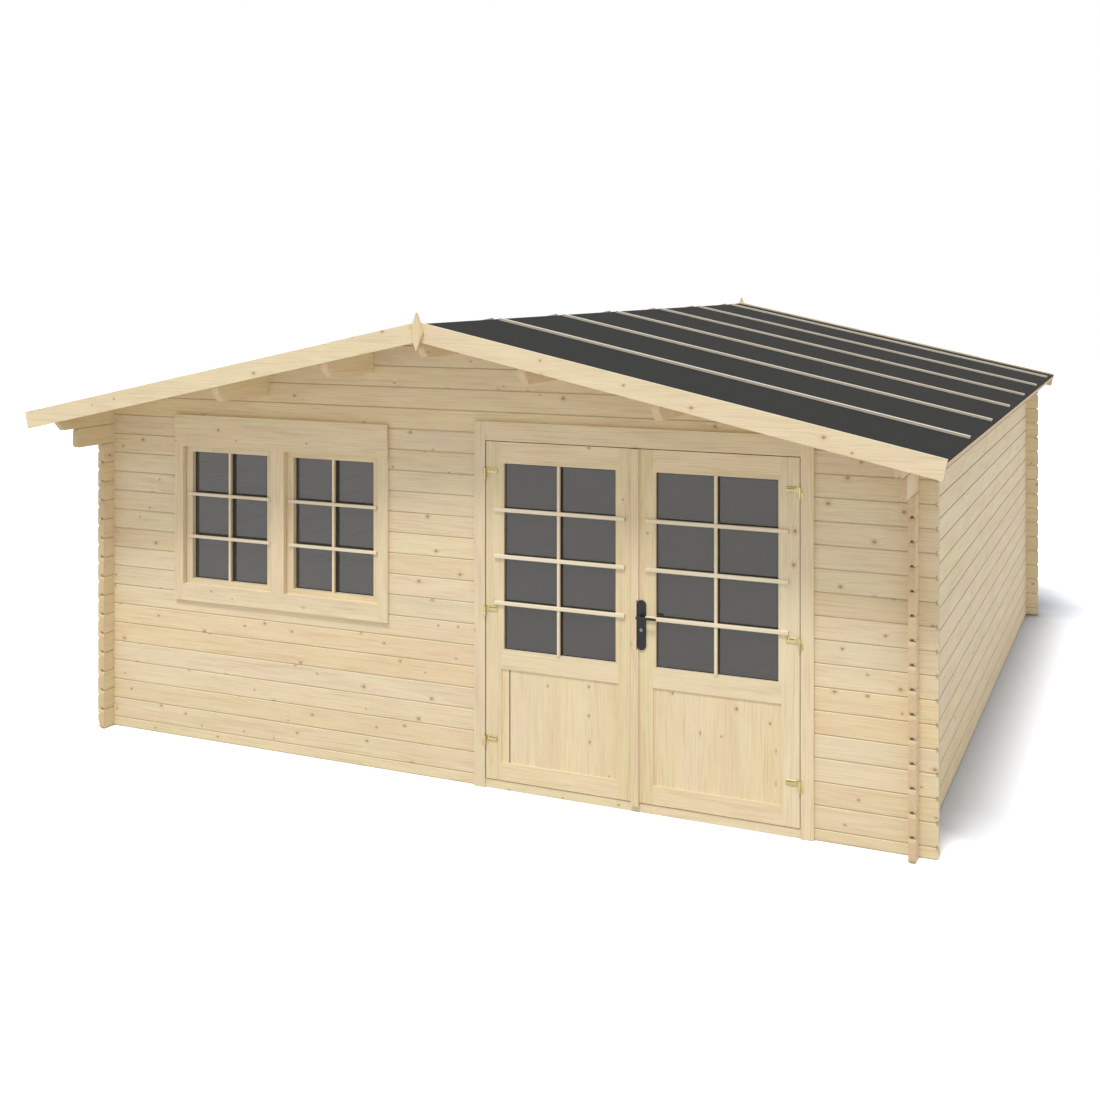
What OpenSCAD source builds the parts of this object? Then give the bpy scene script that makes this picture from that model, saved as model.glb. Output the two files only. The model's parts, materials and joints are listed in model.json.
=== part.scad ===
// Log cabin of notched, tongued logs with a low gable roof, a double glazed
// door and a fixed two-sash window.  Millimetres, +Z up, front towards -Y,
// origin at the bottom centre of the bounding box.

/* [Logs] */
// height that one log adds to a wall
log_h = 114; // [80:1:160]
// log thickness
log_t = 34; // [28:1:70]
// length of a front or back log, end to end
front_len = 4990; // [4800:10:6000]
// length of a side log, end to end
side_len = 5390; // [4800:10:6000]
// how far a log runs past the crossing wall
corner_out = 90; // [60:5:150]
// full logs in a side wall below the wall plate
side_logs = 16; // [16:1:18]
// chamfer on the long edges, which makes the V joint
vee = 5; // [2:0.5:6]
// rounding on the top and bottom corner of a log end
end_cut = 18; // [6:1:24]
// flat beside a tongue, where a log bears on the next
tongue_land = 2; // [1.5:0.5:4]
// how much narrower each side of a tongue is at its top
tongue_lean = 3; // [1:0.5:3.5]
// tongue height
tongue_h = 12; // [8:1:14]
// tongue stops short of the log end
tongue_back = 34; // [26:1:50]
// play around a tongue
tongue_play = 1; // [0.5:0.1:2]
// play on each side of a corner notch or purlin pocket
notch_play = 0.5; // [0.2:0.1:2]

/* [Roof] */
// roof pitch in degrees
pitch = 12.07; // [8:0.1:22]
// roof deck thickness
deck_t = 18; // [14:1:28]
// play between the roof deck and what carries it
roof_play = 0.1; // [0.05:0.05:0.5]
// roofing felt thickness
felt_t = 3; // [2:0.5:6]
// deck past the side wall, measured level
eave_out = 200; // [100:10:400]
// front face of the front barge board past the front wall
front_out = 482; // [320:2:900]
// back face of the back barge board past the back wall
back_out = 110; // [100:2:300]
// barge board depth
barge_w = 98; // [60:1:160]
// barge board thickness
barge_t = 18; // [12:1:30]
// barge board edge above the felt
barge_up = 10; // [0:1:20]
// finial width
finial_w = 75; // [40:1:140]
// finial height
finial_h = 195; // [120:5:260]
// finial thickness
finial_t = 18; // [12:1:30]
// purlin width
purlin_w = 40; // [30:1:70]
// purlin depth at its centre line
purlin_h = 148; // [90:1:180]
// inner purlin from the ridge
purlin_in = 570; // [300:10:800]
// outer purlin from the ridge
purlin_out = 1267; // [900:10:1600]
// slanted cut on the front ends of purlins and wall plates
end_slant = 48; // [10:1:90]
// front end of the corbel log past the front wall
corbel_out = 311; // [120:1:460]
// batten spacing, and the first one from the front edge
batten_gap = 902; // [500:1:1000]
// batten width
batten_w = 32; // [20:1:60]
// batten thickness
batten_t = 12; // [8:1:25]
// batten ends short of the ridge and the eave
batten_short = 24; // [10:1:60]

/* [Door] */
// part of the free front wall that is right of the door
door_part = 0.3216; // [0.2:0.0001:0.45]
// clear width between the jambs
door_w = 1701; // [1500:1:1800]
// clear height over the ground
door_top = 1845; // [1700:1:1860]
// thickness of jamb and head between opening and logs
frame_t = 36; // [20:1:60]
// how far door casings lap over the log ends
door_lap = 28; // [15:1:40]
// door head casing height
door_head_h = 100; // [60:1:140]
// casing thickness over the wall face, inside and out
casing_t = 18; // [12:1:30]
// sill height
sill_h = 45; // [30:1:60]
// gap around a leaf
leaf_gap = 5; // [5:0.5:8]
// gap where the leaves meet
meet_gap = 6.5; // [5:0.5:10]
// meeting line from the door centre
meet_x = -23; // [-40:1:40]
// leaf thickness
leaf_t = 40; // [30:1:60]
// leaf face behind the casing face
leaf_back = 5; // [0:1:10]
// stop behind the leaf, into the opening
stop_w = 12; // [8:1:18]
// width of the stiles at the hinges
stile_w = 91; // [60:1:140]
// width of the left leaf's meeting stile
left_meet_w = 67; // [50:1:140]
// width of the right leaf's meeting stile
right_meet_w = 116; // [90:1:160]
// list beside the glass, in one piece with the stile
glaze_w = 14; // [8:1:20]
// top rail height
top_rail = 113; // [70:1:160]
// height of the middle rail over the ground
mid_z = 640; // [400:1:900]
// middle rail height
mid_rail = 103; // [70:1:180]
// bottom rail height
low_rail = 96; // [70:1:200]
// lower panel thickness
panel_t = 18; // [10:1:24]
// lower panel face behind the leaf face
panel_back = 8; // [3:1:12]
// glass thickness
glass_t = 6; // [4:1:16]
// how far glass and panels sit in their groove
groove = 10; // [5:1:15]
// cover strip width
strip_w = 41; // [20:1:60]
// cover strip thickness
strip_t = 16; // [8:1:25]
// cover strip below the leaf
strip_down = 18; // [0:1:30]

/* [Door fittings] */
// hinge heights over the ground
hinge_z = [254, 941, 1670];
// hinge barrel radius
barrel_r = 6; // [5:0.5:10]
// hinge pin radius
pin_r = 3; // [2:0.5:4]
// hinge pin short of the barrel top
pin_short = 2; // [1:0.5:4]
// play around a hinge pin
pin_play = 0.3; // [0.1:0.1:0.5]
// hinge height
hinge_h = 56; // [30:1:90]
// hinge flap on the leaf
flap_w = 70; // [25:1:80]
// hinge flap on the casing
casing_flap = 16; // [12:1:30]
// hinge flap thickness
flap_t = 2.5; // [1.5:0.5:4]
// handle plate width
plate_w = 48; // [30:1:60]
// handle plate length
plate_len = 252; // [150:1:300]
// handle plate thickness
plate_t = 8; // [3:0.5:12]
// middle of the handle plate over the ground
plate_z = 951; // [850:1:1100]
// handle plate from the cover strip; below zero the strip is cut round it
plate_off = -10.5; // [-20:0.5:20]
// lever above the middle of the plate
lever_up = 43; // [20:1:80]
// lever length from its spindle
lever_len = 90; // [80:1:150]
// lever past its spindle on the other side
lever_tail = 18; // [10:1:30]
// lever section
lever_d = 14; // [12:1:24]
// lever stand-off from the plate
lever_out = 40; // [30:1:60]
// lever neck radius
neck_r = 9; // [6:0.5:12]
// spindle radius
spindle_r = 5; // [3:0.5:7]
// lock cylinder radius
lock_r = 8.5; // [6:0.5:10]
// lock cylinder below the middle of the plate
lock_down = 24; // [15:1:80]
// lock cylinder past the plates
lock_out = 2; // [1:0.5:5]
// play around the spindle and the lock cylinder
fit_play = 0.4; // [0.1:0.1:0.6]

/* [Window] */
// part of the free front wall that is left of the window
win_part = 0.3301; // [0.2:0.0001:0.45]
// width over the casings
win_w = 1450; // [1200:2:1600]
// how far side casings lap over the log ends
win_lap = 26; // [15:1:40]
// how far the bottom casing laps down over the log
win_lap_low = 43; // [15:1:50]
// how far the head casing laps up over the log
win_lap_top = 20; // [10:1:40]
// first log course that the window cuts
win_course = 8; // [6:1:11]
// side casing width
win_side = 62; // [45:1:90]
// head height
win_head = 185; // [90:1:220]
// plain upper part of the head, proud of the rest
win_head_up = 92; // [40:1:100]
// step in the head
win_step = 4; // [2:1:8]
// bottom casing height
win_low = 95; // [60:1:140]
// mullion width
mullion_w = 89; // [60:1:120]
// sash face behind the casing face
sash_back = 31; // [20:1:50]
// sash thickness
sash_t = 39; // [30:1:45]
// glass behind the sash face
pane_back = 30; // [10:1:32]
// sash stile width
sash_stile = 43; // [30:1:80]
// sash rail height
sash_rail = 30; // [25:1:60]
// gap beside and over a sash
sash_gap = 2; // [1:0.5:4]

/* [Floor] */
// floor board thickness
floor_t = 19; // [15:1:28]
// bearer width
bearer_w = 60; // [40:1:90]
// number of bearers
bearer_n = 8; // [5:1:12]
// gap between floor and walls
floor_gap = 22; // [19:1:40]

/* [Hidden] */
wood = [0.87, 0.76, 0.56];
dark = [0.22, 0.22, 0.23];
steel = [0.20, 0.21, 0.24];
gold = [0.78, 0.66, 0.32];
pane = [0.45, 0.47, 0.48, 0.5];
slope = tan(pitch);
wall_w = front_len - 2*corner_out;
wall_d = side_len - 2*corner_out;
half_w = wall_w/2;
in_w = half_w - log_t;
y_min = -front_out - finial_t;
y_max = wall_d + back_out + finial_t;
y_mid = (y_min + y_max)/2;
plate_top = (side_logs + 1)*log_h;
ridge_z = plate_top + half_w*slope;
deck_y0 = -front_out + barge_t;
deck_y1 = wall_d + back_out - barge_t;
eave_x = half_w + eave_out;
deck_v = deck_t/cos(pitch);
felt_v = felt_t/cos(pitch);
up_v = barge_up/cos(pitch);
barge_v = barge_w/cos(pitch);
notch = log_h/4;
cross_w = log_t/2 + notch_play;
tongue_w = log_t - 2*(vee + tongue_play + tongue_land);
groove_w = tongue_w + 2*tongue_play;
groove_h = tongue_h + tongue_play;
round_in = end_cut*(1 - sqrt(0.5));
batten_n = floor((deck_y1 - deck_y0 - batten_w)/batten_gap);
casing_w = frame_t + door_lap;
free_w = wall_w - door_w - 2*casing_w - win_w;
door_x = round(half_w - door_part*free_w - casing_w - door_w/2);
win_x = round(-half_w + win_part*free_w + win_w/2);
last_course = floor((ridge_z - log_h/2)/log_h - 0.02) + 1;
head_course = side_logs + 1;
door_l = door_x - door_w/2;
door_r = door_x + door_w/2;
door_cut_l = door_l - frame_t;
door_cut_r = door_r + frame_t;
door_out_l = door_cut_l - door_lap;
door_out_r = door_cut_r + door_lap;
cut_z = (side_logs + 0.5)*log_h;
win_l = win_x - win_w/2;
win_r = win_x + win_w/2;
win_cut_l = win_l + win_lap;
win_cut_r = win_r - win_lap;
win_cut_z = (win_course - 0.5)*log_h;
win_z0 = win_cut_z - win_lap_low;
win_z1 = cut_z + win_lap_top;
in_y = log_t + casing_t;
leaf_y = -casing_t + leaf_back;
leaf_z0 = sill_h + leaf_gap;
leaf_z1 = door_top - leaf_gap;
leaf_h = leaf_z1 - leaf_z0;
meet_l = door_x + meet_x - meet_gap/2;
meet_r = door_x + meet_x + meet_gap/2;
left_x0 = door_l + leaf_gap;
right_x1 = door_r - leaf_gap;
left_a = left_x0 + stile_w;
left_b = meet_l - left_meet_w;
right_a = meet_r + right_meet_w;
right_b = right_x1 - stile_w;
stop_y = leaf_y + leaf_t + leaf_gap;
axis_y = -casing_t - barrel_r - 1;
axis_l = door_l + leaf_gap/2;
axis_r = door_r - leaf_gap/2;
glass_y = leaf_y + leaf_t/2 - glass_t/2;
mid_top = mid_z + mid_rail;
low_top = leaf_z0 + low_rail;
plate_x = meet_r + strip_w + plate_off + plate_w/2;
lever_z = plate_z + lever_up;
lock_z = plate_z - lock_down;
sash_y = -casing_t + sash_back;
sash_z0 = win_z0 + win_low;
sash_z1 = win_z1 - win_head - sash_gap;
bearer_h = sill_h - floor_t;
e = 1;

// height of the deck underside at x
function under(x) = ridge_z - abs(x)*slope;

// height of a face that carries the deck at x
function seat(x) = under(x) - roof_play;

// half width of the gable at height z
function gable_x(z) = max(0, (seat(0) - z)/slope);

// outline of a log seen from the side: ends x0 and x1, end roundings c0 and c1,
// bottom a, top b, notch depths na and nb at the crossings xs
function log_side(x0, x1, c0, c1, a, b, na, nb, xs) = concat(
    c0 > 0 ? [[x0, a + c0], [x0 + round_in, a + round_in], [x0 + c0, a]] : [[x0, a]],
    na > 0 ? [for (x = xs) each [[x - cross_w, a], [x - cross_w, a + na],
        [x + cross_w, a + na], [x + cross_w, a]]] : [],
    c1 > 0 ? [[x1 - c1, a], [x1 - round_in, a + round_in], [x1, a + c1], [x1, b - c1],
        [x1 - round_in, b - round_in], [x1 - c1, b], [x1 - tongue_back, b],
        [x1 - tongue_back, b + tongue_h]] : [[x1, a], [x1, b + tongue_h]],
    nb > 0 ? [for (i = [len(xs) - 1 : -1 : 0]) each [[xs[i] + cross_w, b + tongue_h],
        [xs[i] + cross_w, b - nb], [xs[i] - cross_w, b - nb], [xs[i] - cross_w, b + tongue_h]]] : [],
    c0 > 0 ? [[x0 + tongue_back, b + tongue_h], [x0 + tongue_back, b], [x0 + c0, b],
        [x0 + round_in, b - round_in], [x0, b - c0]] : [[x0, b + tongue_h]]);

// tapered outline of a tongue or a groove, foot w wide at height z, h high
function tongue(w, z, h) = [[(log_t - w)/2, z], [(log_t - w)/2 + tongue_lean, z + h],
    [(log_t + w)/2 - tongue_lean, z + h], [(log_t + w)/2, z]];

// cross-section of a log from a to b, with or without the groove below and tongue above
function log_section(a, b, low, high) = concat(
    [[vee, a]],
    low ? tongue(groove_w, a, groove_h) : [],
    [[log_t - vee, a], [log_t, a + vee], [log_t, b - vee], [log_t - vee, b]],
    high ? [for (i = [3 : -1 : 0]) tongue(tongue_w, b, tongue_h)[i]] : [],
    [[vee, b], [0, b - vee], [0, a + vee]]);

// puts wall coordinates, y from the front face, into the part frame
module place() {
    translate([0, -y_mid, 0]) children();
}

// outline in x and z made dy deep from y
module across(points, y, dy) {
    translate([0, y + dy, 0]) rotate([90, 0, 0]) linear_extrude(dy) polygon(points);
}

// section in y and z drawn out from x0 to x1
module along(points, x0, x1) {
    translate([x0, 0, 0]) rotate([90, 0, 90]) linear_extrude(x1 - x0) polygon(points);
}

module block(x0, x1, y0, y1, z0, z1) {
    translate([x0, y0, z0]) cube([x1 - x0, y1 - y0, z1 - z0]);
}

// one log along x with its outer face at y = 0
module log_x(x0, x1, c0, c1, a, b, na, nb, xs, low) {
    intersection() {
        along(log_section(a, b, low, true), x0 - e, x1 + e);
        across(log_side(x0, x1, c0, c1, a, b, na, nb, xs), -e, log_t + 2*e);
    }
}

// outline of a gable course between the roof slopes
function gable_side(a, b) = b >= ridge_z - 2*tongue_h
    ? [[-gable_x(a), a], [gable_x(a), a], [0, seat(0)]]
    : a < seat(in_w)
    ? [[-in_w, a], [in_w, a], [in_w, seat(in_w)], [gable_x(b + tongue_h), b + tongue_h],
        [-gable_x(b + tongue_h), b + tongue_h], [-in_w, seat(in_w)]]
    : [[-gable_x(a), a], [gable_x(a), a], [gable_x(b + tongue_h), b + tongue_h],
        [-gable_x(b + tongue_h), b + tongue_h]];

module purlin_pocket(x) {
    block(x - purlin_w/2 - notch_play, x + purlin_w/2 + notch_play, -e, log_t + e,
        under(x) - purlin_h, ridge_z + log_h);
}

module gable_log(k) {
    a = (k - 0.5)*log_h;
    b = (k + 0.5)*log_h;
    difference() {
        intersection() {
            along(log_section(a, b, true, b < ridge_z - 2*tongue_h), -half_w, half_w);
            across(gable_side(a, b), -e, log_t + 2*e);
        }
        if (ridge_z - purlin_h < b + tongue_h) purlin_pocket(0);
        for (s = [-1, 1]) {
            if (under(purlin_in) - purlin_h < b + tongue_h && gable_x(a) > purlin_in - purlin_w)
                purlin_pocket(s*purlin_in);
            if (under(purlin_out) - purlin_h < b + tongue_h && gable_x(a) > purlin_out - purlin_w)
                purlin_pocket(s*purlin_out);
        }
    }
}

xc = half_w - log_t/2;

// the plain full-length course, used by the back wall
module full_course(k) {
    a = max(0, (k - 0.5)*log_h);
    b = (k + 0.5)*log_h;
    log_x(-front_len/2, front_len/2, end_cut, end_cut, a, b, k == 0 ? 0 : notch, notch,
        [-xc, xc], k > 0);
}

// a front course, cut for the door and where it applies the window
module front_course(k) {
    a = max(0, (k - 0.5)*log_h);
    b = (k + 0.5)*log_h;
    na = k == 0 ? 0 : notch;
    if (k < win_course) {
        difference() {
            log_x(-front_len/2, door_cut_l, end_cut, 0, a, b, na, notch, [-xc], k > 0);
            if (k == win_course - 1)
                block(win_cut_l, win_cut_r, -e, log_t + e, b, b + 2*tongue_h);
        }
    } else {
        log_x(-front_len/2, win_cut_l, end_cut, 0, a, b, na, notch, [-xc], true);
        log_x(win_cut_r, door_cut_l, 0, 0, a, b, 0, 0, [], true);
    }
    log_x(door_cut_r, front_len/2, 0, end_cut, a, b, na, notch, [xc], k > 0);
}

module front_wall(first) {
    place() for (k = [first : 2 : last_course]) {
        if (k < head_course) front_course(k);
        else gable_log(k);
    }
}

module back_wall(first) {
    place() translate([0, wall_d - log_t, 0]) for (k = [first : 2 : last_course]) {
        if (k < head_course) full_course(k);
        else gable_log(k);
    }
}

// side log k of the right wall; the top one runs on in front as the corbel
module side_course(k) {
    y0 = k == side_logs - 1 ? -corbel_out : -corner_out;
    log_x(y0, wall_d + corner_out, end_cut, end_cut, k*log_h, (k + 1)*log_h,
        notch, notch, [log_t/2, wall_d - log_t/2], k > 0);
}

module right_wall(first) {
    place() for (k = [first : 2 : side_logs - 1])
        translate([half_w, 0, 0]) rotate([0, 0, 90]) side_course(k);
}

module left_wall(first) {
    mirror([1, 0, 0]) right_wall(first);
}

// side outline of a purlin or wall plate: front end slanted, bottom a, top b
function beam_side(a, b) = [[deck_y0 + end_slant, a], [deck_y1, a], [deck_y1, b],
    [deck_y0, b], [deck_y0, a + end_slant]];

// right wall plate: the top log with its upper face planed to the roof
module right_plate() {
    a = side_logs*log_h;
    section = concat([[vee, a]], tongue(groove_w, a, groove_h), [[log_t - vee, a],
        [log_t, a + vee], [log_t, seat(in_w)], [0, seat(half_w)], [0, a + vee]]);
    place() translate([half_w, 0, 0]) rotate([0, 0, 90]) difference() {
        intersection() {
            along(section, deck_y0 - e, deck_y1 + e);
            across(beam_side(a, ridge_z), -e, log_t + 2*e);
        }
        for (y = [log_t/2, wall_d - log_t/2])
            block(y - cross_w, y + cross_w, -e, log_t + e, a - e, a + notch);
    }
}

module wall_plates() color(wood) {
    right_plate();
    mirror([1, 0, 0]) right_plate();
}

// purlin at x >= 0, its top planed to the deck
module purlin(x) {
    a = under(x) - purlin_h;
    x0 = x - purlin_w/2;
    x1 = x + purlin_w/2;
    tops = x0 < 0 ? [[x1, seat(x1)], [0, seat(0)], [x0, seat(x0)]] : [[x1, seat(x1)], [x0, seat(x0)]];
    place() intersection() {
        across(concat([[x0, a], [x1, a]], tops), deck_y0, deck_y1 - deck_y0);
        translate([x1 + e, 0, 0]) rotate([0, 0, 90])
            across(beam_side(a, ridge_z + e), 0, purlin_w + 2*e);
    }
}

module ridge_purlin() color(wood) purlin(0);

module inner_purlins() color(wood) {
    purlin(purlin_in);
    mirror([1, 0, 0]) purlin(purlin_in);
}

module outer_purlins() color(wood) {
    purlin(purlin_out);
    mirror([1, 0, 0]) purlin(purlin_out);
}

// sloping sheet from the ridge to x1, lower face lift above the deck underside
module sheet(x1, lift, thick, y0, y1) {
    place() across([[0, ridge_z + lift], [x1, under(x1) + lift],
        [x1, under(x1) + lift + thick], [0, ridge_z + lift + thick]], y0, y1 - y0);
}

module right_roof_deck() color(wood) sheet(eave_x, 0, deck_v, deck_y0, deck_y1);
module left_roof_deck() mirror([1, 0, 0]) right_roof_deck();
module right_roof_felt() color(dark) sheet(eave_x, deck_v, felt_v, deck_y0, deck_y1);
module left_roof_felt() mirror([1, 0, 0]) right_roof_felt();

module right_battens() color(wood) place() translate([0, 0, ridge_z + deck_v + felt_v])
    rotate([0, pitch, 0])
        for (i = [1 : batten_n])
            translate([batten_short, -front_out + i*batten_gap - batten_w/2, 0])
                cube([eave_x/cos(pitch) - 2*batten_short, batten_w, batten_t]);

module left_battens() mirror([1, 0, 0]) right_battens();

// barge board: square-cut at the eave, mitred at the ridge
module right_barge(y) {
    top = ridge_z + deck_v + felt_v + up_v;
    end_z = under(eave_x) + deck_v + felt_v + up_v;
    sx = barge_w*sin(pitch);
    sz = barge_w*cos(pitch);
    place() across([[0, top], [0, top - barge_v], [eave_x - sx, end_z - sz], [eave_x, end_z]],
        y, barge_t);
}

module right_barge_boards() color(wood) {
    right_barge(-front_out);
    right_barge(deck_y1);
}

module left_barge_boards() mirror([1, 0, 0]) right_barge_boards();

module finials() color(wood) place() {
    z = ridge_z + deck_v + felt_v + up_v - barge_v/2;
    kite = [[0, z - finial_h/2], [finial_w/2, z], [0, z + finial_h/2], [-finial_w/2, z]];
    across(kite, y_min, finial_t);
    across(kite, y_max - finial_t, finial_t);
}

// left door jamb: a channel over the log ends, with the stop behind the leaf
module left_jamb() {
    linear_extrude(cut_z) polygon([[door_out_l, -casing_t], [door_l, -casing_t],
        [door_l, stop_y], [door_l + stop_w, stop_y], [door_l + stop_w, in_y], [door_out_l, in_y],
        [door_out_l, log_t], [door_cut_l, log_t], [door_cut_l, 0], [door_out_l, 0]]);
    for (y = [-casing_t, log_t])
        block(door_out_l, door_l, y, y + casing_t, cut_z - e, door_top + door_head_h);
}

module door_jambs() color(wood) place() {
    left_jamb();
    translate([2*door_x, 0, 0]) mirror([1, 0, 0]) left_jamb();
}

// door head: casings in front of and behind the log over the door
module door_head() color(wood) place() difference() {
    along([[-casing_t, door_top], [stop_y, door_top], [stop_y, door_top - stop_w],
        [in_y, door_top - stop_w], [in_y, door_top + door_head_h], [log_t, door_top + door_head_h],
        [log_t, cut_z], [0, cut_z], [0, door_top + door_head_h], [-casing_t, door_top + door_head_h]],
        door_l, door_r);
    for (x = [door_l - e, door_r - stop_w])
        block(x, x + stop_w + e, stop_y, in_y + e, door_top - stop_w - e, cut_z);
}

module door_sill() color(wood) place() {
    block(door_l, door_r, leaf_y + leaf_gap, stop_y, 0, sill_h);
    block(door_l + stop_w, door_r - stop_w, stop_y - e, in_y, 0, sill_h);
}

// casing half of a left hinge: lower barrel, pin and flap
module left_pin(z) {
    translate([axis_l, axis_y, z - hinge_h/2]) {
        cylinder(r = barrel_r, h = hinge_h/2 - 0.5, $fn = 32);
        cylinder(r = pin_r, h = hinge_h - pin_short, $fn = 24);
    }
    block(axis_l - casing_flap, axis_l, -casing_t - flap_t, -casing_t, z - hinge_h/2, z - 0.5);
    block(axis_l - 2*flap_t, axis_l, axis_y, -casing_t, z - hinge_h/2, z - 0.5);
}

module door_hinge_pins() color(gold) place() {
    for (z = hinge_z) left_pin(z);
    translate([2*door_x, 0, 0]) mirror([1, 0, 0]) for (z = hinge_z) left_pin(z);
}

// leaf half of a left hinge: upper barrel with its bore, and the flap on the leaf
module left_flap(z) {
    difference() {
        union() {
            translate([axis_l, axis_y, z]) cylinder(r = barrel_r, h = hinge_h/2, $fn = 32);
            block(axis_l, axis_l + barrel_r, axis_y, leaf_y, z, z + hinge_h/2);
            block(axis_l + leaf_gap/2, axis_l + flap_w, leaf_y - flap_t, leaf_y, z, z + hinge_h/2);
        }
        translate([axis_l, axis_y, z - e])
            cylinder(r = pin_r + pin_play, h = hinge_h/2, $fn = 24);
    }
}

module left_leaf_hinges() color(gold) place() for (z = hinge_z) left_flap(z);

module right_leaf_hinges() color(gold) place() translate([2*door_x, 0, 0]) mirror([1, 0, 0])
    for (z = hinge_z) left_flap(z);

// sheet of a leaf in its grooves between the stiles' inner edges a and b
module leaf_sheet(a, b, y, t, z0, z1) {
    block(a - groove, b + groove, y, y + t, z0 - groove, z1 + groove);
}

module leaf_glass(a, b)
    leaf_sheet(a + glaze_w, b - glaze_w, glass_y, glass_t, mid_top, leaf_z1 - top_rail);
module leaf_panel(a, b) leaf_sheet(a, b, leaf_y + panel_back, panel_t, low_top, mid_z);

module leaf_stiles(x0, a, b, x1) {
    difference() {
        union() {
            for (x = [[x0, a], [b, x1]])
                block(x[0], x[1], leaf_y, leaf_y + leaf_t, leaf_z0, leaf_z1);
            for (x = [[a - e, a + glaze_w], [b - glaze_w, b + e]])
                block(x[0], x[1], leaf_y, leaf_y + leaf_t, mid_top, leaf_z1 - top_rail);
        }
        leaf_glass(a, b);
        leaf_panel(a, b);
    }
}

module leaf_rails(a, b) {
    difference() {
        for (r = [[leaf_z0, low_top], [mid_z, mid_top], [leaf_z1 - top_rail, leaf_z1]])
            block(a, b, leaf_y, leaf_y + leaf_t, r[0], r[1]);
        leaf_glass(a, b);
        leaf_panel(a, b);
    }
}

module left_leaf_stiles() color(wood) place() leaf_stiles(left_x0, left_a, left_b, meet_l);
module left_leaf_rails() color(wood) place() leaf_rails(left_a, left_b);
module left_leaf_glass() color(pane) place() leaf_glass(left_a, left_b);
module left_leaf_panel() color(wood) place() leaf_panel(left_a, left_b);

// rod along y between y0 and y1
module rod(x, z, r, y0, y1) {
    translate([x, y1, z]) rotate([90, 0, 0]) cylinder(r = r, h = y1 - y0, $fn = 48);
}

module right_leaf_stiles() color(wood) place() difference() {
    leaf_stiles(meet_r, right_a, right_b, right_x1);
    rod(plate_x, lever_z, spindle_r + fit_play, leaf_y - e, leaf_y + leaf_t + e);
    rod(plate_x, lock_z, lock_r + fit_play, leaf_y - e, leaf_y + leaf_t + e);
}

module right_leaf_rails() color(wood) place() leaf_rails(right_a, right_b);
module right_leaf_glass() color(pane) place() leaf_glass(right_a, right_b);
module right_leaf_panel() color(wood) place() leaf_panel(right_a, right_b);

// strip over the meeting line, cut round the handle plate
module cover_strip() color(wood) place() difference() {
    block(meet_r, meet_r + strip_w, leaf_y - strip_t, leaf_y, leaf_z0 - strip_down, leaf_z1);
    block(plate_x - plate_w/2 - fit_play, plate_x, leaf_y - strip_t - e, leaf_y + e,
        plate_z - plate_len/2 - fit_play, plate_z + plate_len/2 + fit_play);
}

// long plate with round ends, bored for the lever and the lock
module handle_plate(y) {
    difference() {
        union() {
            block(plate_x - plate_w/2, plate_x + plate_w/2, y, y + plate_t,
                plate_z - plate_len/2 + plate_w/2, plate_z + plate_len/2 - plate_w/2);
            for (s = [-1, 1])
                rod(plate_x, plate_z + s*(plate_len - plate_w)/2, plate_w/2, y, y + plate_t);
        }
        rod(plate_x, lever_z, neck_r + fit_play, y - e, y + plate_t + e);
        rod(plate_x, lock_z, lock_r + fit_play, y - e, y + plate_t + e);
    }
}

module handle_plates() color(steel) place() {
    handle_plate(leaf_y - plate_t);
    handle_plate(leaf_y + leaf_t);
}

module lock_cylinder() color(gold) place()
    rod(plate_x, lock_z, lock_r, leaf_y - plate_t - lock_out, leaf_y + leaf_t + plate_t + lock_out);

// the two levers on their common spindle
module lever_handle() color(steel) place() {
    y0 = leaf_y - plate_t - lever_out;
    y1 = leaf_y + leaf_t + plate_t + lever_out;
    rod(plate_x, lever_z, spindle_r, leaf_y - e, leaf_y + leaf_t + e);
    rod(plate_x, lever_z, neck_r, y0, leaf_y - fit_play);
    rod(plate_x, lever_z, neck_r, leaf_y + leaf_t + fit_play, y1);
    for (y = [y0, y1 - lever_d*0.7]) {
        block(plate_x - lever_tail + lever_d/2, plate_x + lever_len - lever_d/2, y, y + lever_d*0.7,
            lever_z - lever_d/2, lever_z + lever_d/2);
        for (x = [-lever_tail + lever_d/2, lever_len - lever_d/2])
            rod(plate_x + x, lever_z, lever_d/2, y, y + lever_d*0.7);
    }
}

// window jamb on the left: a channel over the log ends
module left_win_jamb() {
    z1 = win_z1 - win_head;
    translate([0, 0, win_z0]) linear_extrude(z1 - win_z0) polygon([[win_l, -casing_t],
        [win_l + win_side, -casing_t], [win_l + win_side, in_y], [win_l, in_y], [win_l, log_t],
        [win_cut_l, log_t], [win_cut_l, 0], [win_l, 0]]);
}

module window_jambs() color(wood) place() difference() {
    union() {
        left_win_jamb();
        translate([2*win_x, 0, 0]) mirror([1, 0, 0]) left_win_jamb();
    }
    block(win_l - e, win_r + e, 0, log_t, win_z0 - e, win_cut_z);
}

// window head: full width, its upper part a little proud
module window_head() color(wood) place() {
    z0 = win_z1 - win_head;
    z2 = win_z1 - win_head_up;
    difference() {
        along([[-casing_t, z0], [in_y, z0], [in_y, win_z1], [log_t, win_z1], [log_t, cut_z],
            [0, cut_z], [0, win_z1], [-casing_t - win_step, win_z1], [-casing_t - win_step, z2],
            [-casing_t, z2]], win_l, win_r);
        for (x = [[win_l - e, win_cut_l], [win_cut_r, win_r + e]])
            block(x[0], x[1], 0, log_t, z0 - e, win_z1 + e);
    }
}

module window_bottom() color(wood) place()
    along([[-casing_t, win_z0], [0, win_z0], [0, win_cut_z], [log_t, win_cut_z], [log_t, win_z0],
        [in_y, win_z0], [in_y, win_z0 + win_low], [-casing_t, win_z0 + win_low]],
        win_l + win_side, win_r - win_side);

module window_mullion() color(wood) place()
    block(win_x - mullion_w/2, win_x + mullion_w/2, -casing_t, in_y, win_z0 + win_low, win_z1 - win_head);

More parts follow.
